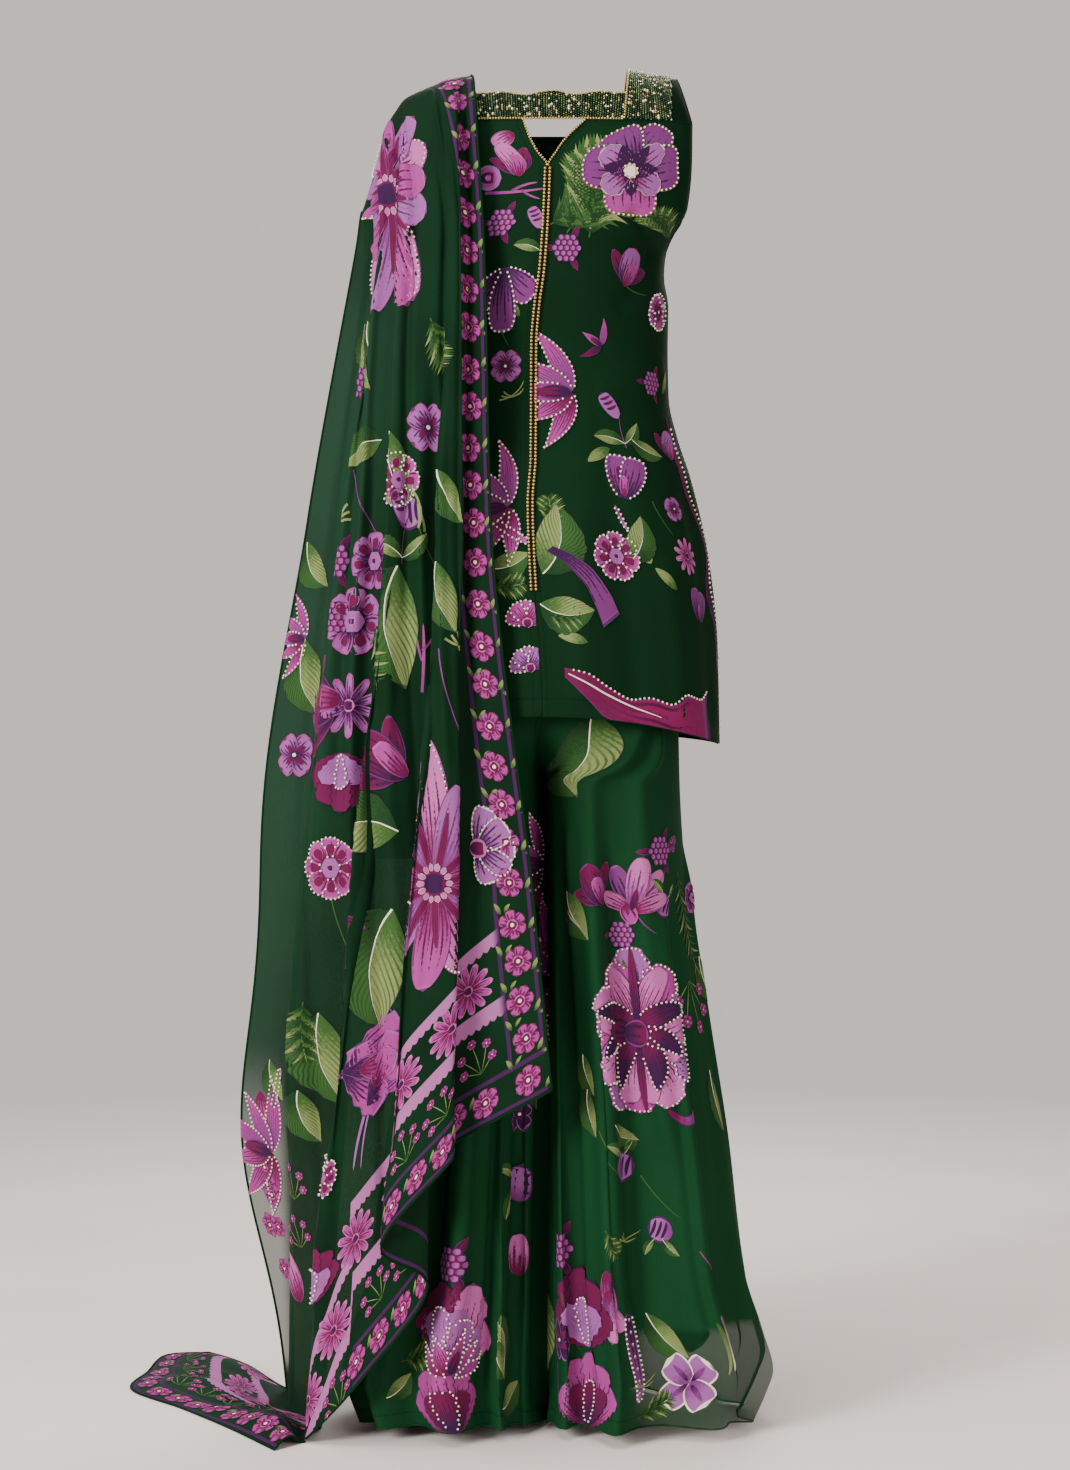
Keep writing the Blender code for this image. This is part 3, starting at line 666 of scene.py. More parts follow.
def edge_line(row, spacing):
    """Evenly spaced flat points just inside a petal's outline."""
    u = np.linspace(0.04, 1.0, 60)
    if row.edges:
        line = flat_petal(row, u, np.full_like(u, 0.94))
    else:
        side = np.ones_like(u)
        line = np.concatenate((flat_petal(row, u, -side), flat_petal(row, u[::-1], side)))
    reach = reach_of(line)
    return spaced(line, reach, np.arange(spacing / 2.0, reach[-1], spacing))


def turned(rows, x, y, angle, size=1.0, layer=0):
    """Petals moved, turned and scaled together."""
    turn = math.radians(angle)
    return [
        row._replace(
            x=x + size * (row.x * math.cos(turn) - row.y * math.sin(turn)),
            y=y + size * (row.x * math.sin(turn) + row.y * math.cos(turn)),
            angle=row.angle + angle, length=row.length * size, width=row.width * size, layer=row.layer + layer)
        for row in rows
    ]


# Colours of a petal's base, its tip and its rim
VIOLET, MAGENTA, ROSE = "plum lilac orchid", "maroon orchid pink", "maroon pink pink"
ORCHID_PETAL, MAUVE_PETAL, DUSK = "mauve pink pink", "plum mauve lilac", "plum maroon mauve"
LIGHT_LEAF, SHADE_LEAF = "leaf olive olive", "shade leaf leaf"
RED_EYE, DARK_EYE, PALE_EYE = "maroon maroon pink", "maroon plum pink", "cream cream maroon"
HEART, NIGHT, CRESCENT, BUD = "plum maroon plum", "plum plum maroon", "maroon plum mauve", "mauve lilac plum"
STEM, TWIG, WHITE, FROST = "mauve mauve mauve", "mauve orchid plum", "cream cream cream", "lilac lilac lilac"

# Share along a leaf, its rib, and its dark and pale outer edges as shares of its length
LEAF_LINES = (
    (0.00, 0.00, -0.01, 0.01), (0.12, -0.04, -0.21, 0.10), (0.30, -0.07, -0.34, 0.20), (0.50, -0.06, -0.37, 0.25),
    (0.70, 0.00, -0.29, 0.24), (0.86, 0.08, -0.12, 0.20), (1.00, 0.17, 0.165, 0.175),
)
# Share along a band, and its lower and upper edge as shares of its length
BRANCH_EDGES = ((0.0, -0.06, 0.03), (0.25, 0.01, 0.15), (0.5, 0.02, 0.21), (0.75, -0.04, 0.20), (1.0, -0.14, 0.14))
SIDE_EDGES = (
    (0.00, -0.004, 0.004), (0.20, -0.052, -0.020), (0.38, -0.010, 0.006), (0.52, 0.018, 0.040), (0.70, -0.050, -0.014),
    (0.84, -0.020, 0.006), (1.00, -0.024, 0.012),
)
BAND_EDGES = (
    (0.00, -0.030, 0.022), (0.13, -0.160, 0.000), (0.24, -0.262, -0.062), (0.40, -0.300, -0.124),
    (0.53, -0.330, -0.096), (0.66, -0.356, -0.112), (0.78, -0.380, -0.034), (0.90, -0.398, -0.040),
    (1.00, -0.410, 0.020),
)
CURVE_EDGES = (
    (0.00, -0.005, 0.005), (0.18, -0.095, -0.077), (0.40, -0.202, -0.182), (0.70, -0.297, -0.280),
    (1.00, -0.344, -0.337),
)


def disc(x, y, width, colours, layer, hatch=0.0, rim_width=0.16, beads=False):
    return Petal(x - width / 2.0, y, 0.0, width, width, colours, 0.5, 0.5, 0.0, layer, hatch, rim_width, beads)


def ring_of(count, length, width, colours, start, inner, layer, base, tip, hatch, **shape):
    """Petals evenly round a centre, one over and the next under."""
    rows = []
    for index in range(count):
        angle = start + 360.0 * index / count
        x, y = inner * math.cos(math.radians(angle)), inner * math.sin(math.radians(angle))
        rows.append(Petal(x, y, angle, length, width, colours, base, tip, 0.0, layer + index % 2, hatch, **shape))
    return rows


def fan(angles, length, width, colours, base, tip, bend, layer, hatch, step=1, **shape):
    """Petals from one point, each at its angle and share of the length, in steps upward."""
    return [Petal(0, 0, angle, length * share, width, colours, base, tip, bend, layer + step * place, hatch, **shape)
            for place, (angle, share) in enumerate(angles)]


def leaf(wide=1.0):
    """A two-tone leaf: a dark half with a fringe, a pale half, and a pale rib."""
    dark_half, pale_half, rib = (
        tuple((share, line[0] * wide, line[side] * wide) for share, *line in LEAF_LINES) for side in (1, 2, 0))
    rib = tuple((share, low - 0.010 * (1.0 - share), low + 0.010 * (1.0 - share)) for share, low, high in rib)
    return [
        Petal(0, 0, 0, 1, 0.34, SHADE_LEAF, hatch=16.0, rim_width=0.04, frills=14, veins=2.0, edges=dark_half),
        Petal(0, 0, 0, 1, 0.34, LIGHT_LEAF, layer=1, hatch=11.0, rim_width=0.06, veins=2.0, edges=pale_half),
        Petal(0, 0, 0, 1, 0.02, PALE_EYE, layer=2, hatch=0.0, rim_width=0.0, edges=rib),
    ]


def sprig(bend=0.3):
    return [Petal(0, 0, 0, 1, 0.36, LIGHT_LEAF, 0.8, 0.9, bend, hatch=8.0, veins=1.0)]


def stem(length, width=0.0016, bend=0.4, colours=STEM):
    return [Petal(0, 0, 0, length, width, colours, 0.0, 0.3, bend, hatch=0.0, rim_width=0.0)]


def feather(length, spread, bend=0.4, strokes=13):
    """A feathery leaf of fine strokes on a curved rib, in metres."""
    rows = stem(length, 0.0016, bend, LIGHT_LEAF)
    for index in range(strokes):
        share = (index + 1.0) / (strokes + 1.0)
        x, y = length * math.sin(bend * share) / bend, length * (1.0 - math.cos(bend * share)) / bend
        reach = spread * math.sin(math.pi * share ** 0.7) + 0.004
        for side in (-1, 1):
            tone = SHADE_LEAF if (index + side) % 3 else LIGHT_LEAF
            rows.append(Petal(x, y, math.degrees(bend * share) + side * 34.0, reach * 1.25, reach * 0.22, tone,
                              0.5, 1.2, side * 0.5, 1, 3.0, 0.0))
    return rows


def berry():
    rows = ring_of(3, 0.55, 0.24, DUSK, -60.0, 0.36, 0, 0.7, 0.9, 3.0) + [disc(0, 0, 1.0, HEART, 2)]
    step = 0.215
    for line in range(-2, 3):
        for place in range(-2, 3):
            x, y = (place + 0.5 * (line % 2)) * step, line * step * 0.88
            if math.hypot(x, y) < 0.44:
                rows.append(disc(x, y, step * 0.94, "mauve lilac maroon", 3, rim_width=0.22))
    return rows


def pansy(count=4, colours=VIOLET, beads=False):
    return [
        *ring_of(count, 0.52, 0.56, colours, 45.0, 0.0, 0, 0.55, 0.3, 7.0, notch=0.12, rim_width=0.16, beads=beads),
        *ring_of(count, 0.30, 0.16, DUSK, 45.0, 0.0, 3, 0.5, 0.8, 0.0), disc(0, 0, 0.10, PALE_EYE, 5)]


def rosette(count=7, colours=MAGENTA, beads=True):
    return [
        *ring_of(count, 0.38, 0.37, colours, 90.0, 0.12, 0, 0.5, 0.28, 5.0, rim_width=0.18, beads=beads),
        *ring_of(count, 0.20, 0.17, RED_EYE, 90.0, 0.20, 3, 0.5, 0.4, 0.0),
        *ring_of(6, 0.17, 0.15, "lilac lilac pink", 60.0, 0.0, 5, 0.5, 0.3, 0.0),
        disc(0, 0, 0.12, DARK_EYE, 7, rim_width=0.3)]


def daisy(count=10, colours=ROSE):
    return [*ring_of(count, 0.46, 0.15, colours, 90.0, 0.05, 0, 0.55, 0.35, 3.0, rim_width=0.22),
            disc(0, 0, 0.20, DARK_EYE, 3, rim_width=0.3)]


def tulip(colours=VIOLET):
    return [
        Petal(0, 0, 128, 1, 0.42, DUSK, 0.7, 0.7, 0.3, hatch=4.0),
        Petal(0, 0, 52, 1, 0.42, DUSK, 0.7, 0.7, -0.3, hatch=4.0),
        Petal(0, -0.1, 90, 1.15, 0.75, colours, layer=1), Petal(0, -0.1, 78, 0.75, 0.40, MAGENTA, layer=2, hatch=5.0)]


def lily(count=5, spread=150.0, colours=MAGENTA, beads=True):
    """A side view of pointed petals that fan from the base."""
    rows = []
    for step, index in enumerate(sorted(range(count), key=lambda index: -abs(index - (count - 1) / 2.0))):
        share = index / (count - 1) - 0.5
        rows.append(Petal(0, 0, 90 + share * spread, (1.0, 0.86, 0.95, 0.80, 0.90, 0.84)[index % 6], 0.27,
                          colours if step % 2 else "mauve orchid pink", 0.75, 1.3, -share * 1.1, step, 8.0,
                          beads=beads))
    return rows + [Petal(0, 0, 90, 0.5, 0.20, DUSK, 0.6, 0.8, layer=count + 1, hatch=3.0)]


def heart(beads=True):
    rows = [Petal(0, -0.55, 90 + side * 22, 1.05, 0.62, MAUVE_PETAL, 0.6, 0.30, -0.35 * side, layer, 8.0, beads=beads)
            for layer, side in enumerate((1, -1))]
    return rows + [Petal(0, -0.5, 95, 0.5, 0.20, MAGENTA, 0.6, 0.5, layer=2, hatch=3.0)]


def bud(size):
    """A striped bud with two leaves on a stem, in metres."""
    rows = turned(stem(size * 1.1, 0.0012, -0.3), 0, -size * 1.15, 90)
    rows += turned(leaf(0.7), 0, -size, 150, size * 1.1) + turned(leaf(0.7), 0, -size, 32, size)
    flower = [Petal(0.12, -0.15, 110, 1, 0.55, "lilac lilac plum", 0.5, 0.4, layer=3, hatch=0.0)]
    for share in (0.25, 0.45, 0.65):
        flower.append(Petal(-0.30 * share - 0.14, share * 0.9, -12, 0.42, 0.10, HEART, 0.5, 0.5, 0.8, 4, 0.0))
    return rows + turned(flower, 0, 0, 0, size)


def lotus(tall=1.5):
    """A large flower: hatched serrated petals, dark crescents edged with pearls, and a pointed dark heart."""
    rows = []

    def add(angle, share, wide, tone, base, tip, bend, frills, hatch, layer, edged=False):
        turn = math.radians(angle)
        reach = share * math.hypot(math.cos(turn), math.sin(turn) * tall) / 2.0
        rows.append(Petal(0, 0, angle, reach, wide, tone, base, tip, bend, layer, hatch, 0.06, edged, frills))

    for index in range(14):
        add(90.0 + 360.0 * index / 14.0, (1.0, 0.92, 0.97)[index % 3], 0.34,
            ("plum lilac pink", MAGENTA, "plum pink lilac")[index % 3], 0.9, 0.36, 0.10 * (-1) ** index, 5, 12.0,
            index % 3, True)
    for side in (1, -1):
        for angle, share, wide in ((36, 0.84, 0.20), (84, 0.92, 0.18), (130, 0.88, 0.20)):
            add(90 - side * angle, share, wide, CRESCENT, 0.7, 0.9, -side * 1.1, 0, 7.0, 7, True)
        for angle, share, wide in ((14, 0.86, 0.22), (60, 0.84, 0.26), (106, 0.84, 0.24), (160, 0.86, 0.22)):
            add(90 - side * angle, share, wide, "maroon pink lilac", 0.8, 0.5, -side * 0.4, 0, 10.0, 4)
    for angle, share, wide in ((90, 1.0, 0.09), (-90, 0.94, 0.08), (172, 0.66, 0.20)):
        add(angle, share, wide, HEART, 0.9, 0.9, 0.1, 0, 4.0, 9)
    return rows + [disc(0, 0, 0.24, DUSK, 12, hatch=3.0)]


def sunburst(count, narrow):
    """A large pale flower of long hatched petals round a dark eye."""
    rows = []
    for index in range(count):
        angle = 90.0 + 360.0 * (index + 0.25 * (index % 3)) / count
        turn = math.radians(angle)
        reach = 0.5 * math.hypot(math.cos(turn) * narrow, math.sin(turn)) * (1.0, 0.84, 0.93)[index % 3]
        rows.append(Petal(0, 0, angle, reach, 0.055 + reach * 0.24, (ROSE, "mauve lilac pink", MAGENTA)[index % 3],
                          0.85, 0.55, 0.15 * (-1) ** index, index % 3, 8.0, 0.07, index % 3 == 0))
    for index in range(count):
        angle = 90.0 + 360.0 * (index + 0.5) / count
        turn = math.radians(angle)
        reach = 0.30 * math.hypot(math.cos(turn) * narrow, math.sin(turn))
        rows.append(Petal(0, 0, angle, reach, 0.035, RED_EYE, 0.6, 0.9, 0.1, 4, 4.0))
    rows += ring_of(14, 0.035, 0.022, "pink pink cream", 0.0, 0.046, 5, 0.6, 0.45, 0.0)
    return rows + [disc(0, 0, 0.10, NIGHT, 7, rim_width=0.2)]


def border_flower():
    return [*ring_of(6, 0.44, 0.38, "maroon orchid maroon", 90.0, 0.06, 0, 0.5, 0.3, 3.0, rim_width=0.2),
            disc(0, 0, 0.38, RED_EYE, 3, rim_width=0.25), disc(0, 0, 0.14, PALE_EYE, 4, rim_width=0.1)]


def one_petal(colours=ROSE):
    return [Petal(0, 0, 0, 1, 0.55, colours, 0.6, 0.5, 0.3, hatch=6.0)]


def half_flower(colours=VIOLET, count=5, beads=True):
    """Half of a round flower, cut off at a seam."""
    rows = [Petal(0, 0, -90.0 + 180.0 * (index + 0.5) / count, 0.55, 0.36, colours, 0.6, 0.3, 0.0, index % 2, 6.0,
                  beads=beads) for index in range(count)]
    return rows + [disc(0, 0, 0.26, "plum maroon pink", 3, rim_width=0.3)]


def great_pansy():
    """A large pansy: two dark upper petals, two side petals and a broad lower one, with a raised edge."""
    rows = []
    shapes = ((62, 0.52, 0.46), (118, 0.50, 0.44), (8, 0.52, 0.48), (172, 0.50, 0.46))
    for layer, (angle, reach, width) in enumerate(shapes):
        rows.append(Petal(0, 0, angle, reach, width, "plum mauve gold", 0.45, 0.28, 0.1, layer, 11.0, 0.05, True))
    rows.append(Petal(0, 0, -90, 0.46, 0.56, "maroon orchid gold", 0.45, 0.26, 0.0, 4, 12.0, 0.05, True, notch=0.1))
    rows += fan(((38, 0.40), (142, 0.40), (-34, 0.36), (-146, 0.36)), 1, 0.26, "maroon lilac cream", 0.5, 0.4, 0.2, 5,
                7.0, 0, rim_width=0.08, frills=3)
    rows += fan(((62, 0.30), (118, 0.30), (8, 0.28), (172, 0.28), (-90, 0.26)), 1, 0.16, NIGHT, 0.6, 0.9, 0.0, 5, 4.0,
                0, rim_width=0.0)
    return rows + [disc(0, 0, 0.15, "cream cream gold", 7, rim_width=0.3, beads=True)]


def lotus_side():
    """A small flower from the side, with folded pale petals and a cup."""
    shapes = ((60, 1.0, 0.40, ROSE), (120, 0.92, 0.38, MAUVE_PETAL), (88, 1.05, 0.46, ORCHID_PETAL),
              (32, 0.8, 0.34, ROSE), (160, 0.72, 0.32, ROSE))
    rows = [Petal(0, 0, angle, reach, width, tone, 0.7, 0.55, 0.15 * (angle - 90) / 60.0, step, 5.0)
            for step, (angle, reach, width, tone) in enumerate(shapes)]
    return rows + [Petal(-0.15, 0.1, -60, 0.42, 0.34, MAGENTA, 0.5, 0.5, 0.4, 6, 3.0),
                   Petal(0, 0, 84, 0.45, 0.14, DUSK, 0.6, 0.9, 0.0, 7, 3.0)]


def striped_bud():
    rows = [disc(0, 0, 1.0, BUD, 0)]
    for share in (-0.22, 0.0, 0.22):
        rows.append(Petal(share, -0.34, 90, 0.70, 0.12, NIGHT, 0.5, 0.5, -0.5, 1, 0.0, 0.0))
    return rows + turned(leaf(0.7), -0.1, 0.3, 140, 0.9) + turned(leaf(0.7), 0.2, 0.4, 60, 0.7)


def pearl_branch():
    rows = [Petal(0, 0, 0, 1, 0.17, MAUVE_PETAL, 0.25, 0.3, 0.25, 0, 3.0, 0.2, True)]
    for index in range(7):
        share = (index + 0.6) / 7.5
        rows.append(disc(share, 0.125 * share ** 2, 0.045, "cream lilac plum", 1))
    return rows


def shade_fan(colours="maroon maroon plum", inner="lilac lilac plum"):
    """A fringed fan with a hatched pale heart."""
    rows = fan(((48, 0.82), (-48, 0.78), (22, 0.95), (-22, 0.92), (0, 1.0)), 1, 0.40, colours, 0.7, 0.3, 0.0, 0, 9.0,
               rim_width=0.06, frills=7)
    for step, angle in enumerate((34, -34, 0)):
        rows.append(Petal(0, 0, angle, 0.62, 0.30, inner, 0.7, 0.25, 0.0, 6 + step, 12.0, 0.0, step == 2, 5))
    return rows


def trumpet():
    """A long-necked flower whose mouth opens in waves."""
    rows = [Petal(0, 0, 180, 0.8, 0.05, FROST, 0.0, 0.3, 0.3, hatch=0.0),
            Petal(0, -0.04, 186, 0.8, 0.03, FROST, 0.0, 0.3, 0.3, hatch=0.0)]
    for step, (angle, reach) in enumerate(((36, 0.8), (-34, 0.76), (0, 0.9))):
        rows.append(Petal(-0.1, 0, angle, reach, 0.42, "plum orchid lilac", 0.8, 0.2, 0.0, 1 + step, 8.0, frills=4))
    return rows + [Petal(0.1, 0, 0, 0.5, 0.34, MAGENTA, 0.7, 0.4, 0.0, 5, 6.0)]


def sprig_group():
    """A forked stem of tiny round flowers."""
    rows = []
    for angle, reach in ((90, 1.0), (118, 0.85), (62, 0.85), (145, 0.55), (35, 0.55)):
        rows += turned(stem(reach * 0.8, 0.022, 0.2, "leaf olive leaf"), 0, -0.45, angle)
        turn = math.radians(angle + 5)
        x, y = reach * 0.82 * math.cos(turn), reach * 0.82 * math.sin(turn) - 0.45
        rows += turned(border_flower(), x, y, angle, 0.24, 1)
    return rows


# Petals of each motif in shares of its size, or a function that makes them for a size in metres
MOTIFS = {
    "target": [disc(0, 0, 1.0, "mauve lilac lilac", 0), disc(0, 0, 0.66, "plum maroon orchid", 1, rim_width=0.3),
               disc(0, 0, 0.30, "pink lilac plum", 2, rim_width=0.3)],
    "berry": berry(), "bud": bud, "lotus": lotus(), "great_pansy": great_pansy(), "lotus_side": lotus_side(),
    "trefoil": [Petal(0, 0, angle, reach, 0.52, MAUVE_PETAL, 0.75, 0.35, bend, layer, 7.0, beads=True)
                for layer, (angle, reach, bend) in enumerate(((-128, 0.92, -0.2), (-52, 0.80, 0.2), (-92, 1.15, 0.0)))],
    "curls": sum((turned(stem(reach, 0.045, 1.3 + 0.3 * index, "olive olive leaf"), 0, 0.14 * index, 30 - 28 * index)
                  for index, reach in enumerate((1.0, 0.8, 0.65))), []),
    "fork": stem(1, 0.055, 0.2, TWIG) + turned(stem(0.45, 0.05, -0.5, TWIG), 0.45, 0.04, 35)
    + turned(stem(0.36, 0.04, 0.5, TWIG), 0.60, 0.06, -38),
    "feather": lambda size: feather(size, size * 0.36), "feather_violet": lambda size: feather(size, size * 0.12),
    "feather_wide": lambda size: feather(size, size * 0.48, 0.5, 17),
    "stem_green": lambda size: stem(size, 0.0016, 0.5, "leaf leaf leaf"),
    "stem_mauve": lambda size: stem(size, 0.0016, 0.5),
    "lily": lily(), "lily_large": lily(6, 200.0), "lily_small": lily(3, colours=DUSK, beads=False),
    "lily_dusk": lily(4, colours=DUSK), "tulip": tulip(), "tulip_pink": tulip(ROSE), "tulip_dusk": tulip(DUSK),
    "petal_pink": one_petal(), "petal_plum": one_petal(DUSK), "heart": heart(), "heart_plum": heart(False),
    "pansy": pansy(), "pansy_beaded": pansy(5, MAGENTA, True), "pansy_dusk": pansy(4, "plum plum lilac"),
    "leaf": leaf(), "leaf_small": leaf(0.8), "leaf_large": leaf(1.15), "leaf_narrow": leaf(0.4), "sprig": sprig(),
    "small_leaves": sprig(0.5) + turned(sprig(-0.5), 0.1, -0.35, -40, 0.8), "sprigs": sprig_group(),
    "half_rosette": half_flower(MAGENTA), "half_lily": half_flower(), "half_fan": half_flower("plum lilac cream"),
    "bell": half_flower(MAUVE_PETAL, 3, False), "rosette": rosette(), "rosette_dusk": rosette(7, VIOLET, False),
    "rosette_eye": rosette(8), "daisy": daisy(), "daisy_blue": daisy(10, VIOLET), "fan_daisy": daisy(12, MAGENTA),
    "sunburst_tall": sunburst(15, 0.56), "sunburst": sunburst(11, 0.46), "border": border_flower(),
    "trumpet": trumpet(), "bud_striped": striped_bud(), "pearl_branch": pearl_branch(), "shade_fan": shade_fan(),
    "magenta_fan": shade_fan("maroon orchid lilac", DUSK),
    "hem_flower": shade_fan(ROSE, "maroon lilac plum") + turned(lily(), 0, 0, -90, 0.55, 8),
    "pearl_stem": [Petal(0, 0, 0, 1, 0.14, BUD, 0.3, 0.4, 0.3, beads=True)],
    "drip": [Petal(0, 0, 0, 1, 0.30, LIGHT_LEAF, 0.8, 0.3, 0.5, hatch=6.0, veins=1.0)],
    "hook": [Petal(-0.3, 0.3, -75, 1.9, 0.34, "maroon mauve plum", 0.5, 0.25, 3.6, 0, 0.0, 0.25)],
    "branch": [Petal(0, 0, 0, 1, 0.2, MAUVE_PETAL, layer=4, hatch=5.0, rim_width=0.06, edges=BRANCH_EDGES)],
    "side_band": [Petal(0, 0, 0, 1, 0.05, CRESCENT, hatch=2.0, beads=True, edges=SIDE_EDGES)],
    "hem_band": [Petal(0, 0, 0, 1, 0.3, "maroon wine mauve", hatch=5.0, beads=True, edges=BAND_EDGES),
                 Petal(0.02, -0.01, 0, 0.55, 0.02, WHITE, layer=2, hatch=0.0, rim_width=0.0, edges=CURVE_EDGES)],
    "hem_petal": [Petal(0, -0.4, 90, 1, 0.9, DUSK, 0.30, 0.35, 0.0, 0, 12.0, 0.06, True, 5),
                  Petal(0, -0.4, 90, 0.6, 0.4, NIGHT, 0.4, 0.6, 0.0, 1, 6.0, 0.0)],
    "pink_fold": [Petal(0, 0, 0, 1, 0.46, ROSE, 0.5, 0.5, -0.3, 0, 6.0),
                  Petal(0.25, 0, -30, 0.5, 0.22, "maroon mauve pink", 0.6, 0.6, 0.4, 1),
                  Petal(0.40, 0, 12, 0.50, 0.26, ORCHID_PETAL, 0.6, 0.5, 0.5, 2),
                  Petal(0.15, 0.04, 15, 0.34, 0.12, DUSK, 0.6, 0.9, 0.2, 3, 3.0)],
    "four_petal": ring_of(4, 0.52, 0.52, "mauve lilac cream", 45.0, 0.0, 0, 0.42, 0.24, 0.0, notch=0.10, rim_width=0.13)
    + ring_of(4, 0.36, 0.09, "plum mauve mauve", 45.0, 0.04, 3, 0.6, 0.8, 0.0, rim_width=0.0),
    "crescent": [Petal(0, 0, 0, 1, 0.16, "mauve cream cream", 0.6, 0.9, -0.9, 0, 3.0),
                 Petal(0.05, -0.16, 0, 0.95, 0.10, LIGHT_LEAF, 0.6, 0.9, -0.9, 0, 6.0, veins=1.0)],
}


def motif(name, size, turn):
    """A motif's petals at its size in metres and its turn in degrees."""
    shape = MOTIFS[name]
    return turned(shape(size), 0.0, 0.0, turn) if callable(shape) else turned(shape, 0.0, 0.0, turn, size)


# Places of the print: x and height of each motif's centre, its size, and its turn in degrees
Spot = namedtuple("Spot", "motif x height size turn")
KURTA_RIGHT_PRINT = table(
    Spot,
    ("target", -0.0651, 1.3341, 0.0272, 0), ("tulip_pink", -0.0328, 1.3372, 0.0335, 15),
    ("petal_pink", -0.038, 1.3785, 0.0314, 200), ("fork", -0.0692, 1.3155, 0.0628, -2),
    ("berry", -0.0516, 1.2865, 0.0293, 0), ("bud", -0.0141, 1.2813, 0.0272, 10),
    ("trefoil", -0.0464, 1.2379, 0.0586, 4), ("stem_green", -0.0558, 1.1964, 0.0439, -85),
    ("pansy", -0.0485, 1.1352, 0.0345, 0), ("curls", -0.0558, 1.103, 0.0356, -30),
    ("lily_large", -0.0444, 0.9885, 0.0774, 96), ("petal_plum", -0.0559, 0.9969, 0.0356, 250),
    ("leaf", -0.0674, 0.928, 0.0481, 8), ("feather", -0.0612, 0.905, 0.0356, -8),
    ("half_rosette", -0.0246, 0.8674, 0.0439, 90), ("half_lily", -0.0204, 0.8224, 0.0418, 100),
    ("pearl_stem", -0.0632, 0.976, 0.0586, -40), ("sprig", -0.0756, 1.1736, 0.0251, 70),
    ("sprig", -0.0318, 1.1861, 0.023, 120), ("berry", -0.0779, 0.8507, 0.0251, 20),
    ("sprig", -0.0675, 0.835, 0.0251, 200), ("petal_plum", -0.084, 1.0697, 0.0272, 60),
    ("bud", -0.0675, 0.7983, 0.0251, -20),
)
KURTA_LEFT_PRINT = table(
    Spot,
    ("feather_wide", -0.0016, 1.2813, 0.1004, 30), ("feather_wide", 0.0161, 1.2731, 0.1088, 52),
    ("feather_wide", 0.041, 1.271, 0.0963, 70), ("feather_wide", 0.1305, 1.2669, 0.0628, 118),
    ("great_pansy", 0.0846, 1.3413, 0.1046, 0), ("berry", 0.015, 1.2576, 0.0293, 0),
    ("sprig", 0.0233, 1.2793, 0.0209, 120), ("tulip", 0.0785, 1.2223, 0.0377, -20),
    ("stem_green", 0.0806, 1.2192, 0.0293, -25), ("pansy_beaded", 0.115, 1.1964, 0.0377, 20),
    ("lily", 0.0224, 1.1093, 0.0795, 92), ("lily_small", 0.0536, 1.157, 0.0293, 60),
    ("bud", 0.0652, 1.0864, 0.0314, 15), ("sprig", 0.0641, 1.0521, 0.0335, 205),
    ("leaf_small", 0.086, 1.0593, 0.0398, -28), ("heart", 0.0777, 1.0219, 0.046, -8),
    ("petal_plum", 0.0871, 1.0281, 0.0293, 200), ("rosette", 0.0684, 0.9374, 0.0523, 0),
    ("pearl_stem", 0.0653, 0.9916, 0.0314, -75), ("drip", 0.0945, 0.9614, 0.0335, -90),
    ("feather", 0.0016, 0.9656, 0.0356, 80), ("branch", 0.0016, 0.9458, 0.0942, -51),
    ("feather", -0.0026, 0.8768, 0.0356, -12), ("daisy", 0.1458, 0.9385, 0.0398, 0),
    ("sprig", 0.1333, 0.9029, 0.0314, 130), ("heart_plum", 0.1616, 0.8862, 0.0356, -10),
    ("tulip", 0.1309, 1.0437, 0.0314, -15), ("sprig", 0.1225, 1.1113, 0.0293, 60),
    ("berry", 0.1089, 1.1217, 0.0251, 0), ("pansy", 0.1311, 0.9864, 0.0272, 20),
    ("stem_green", 0.1091, 0.9969, 0.0418, -70), ("sprig", 0.0413, 0.8507, 0.0314, 160),
    ("hem_band", 0.0121, 0.8193, 0.184, 0), ("leaf_large", -0.0099, 0.9207, 0.0753, 66),
    ("leaf_large", -0.0131, 0.8904, 0.0565, -16), ("leaf", 0.081, 0.9343, 0.0523, 62),
    ("side_band", 0.1277, 1.0853, 0.2762, -82),
)
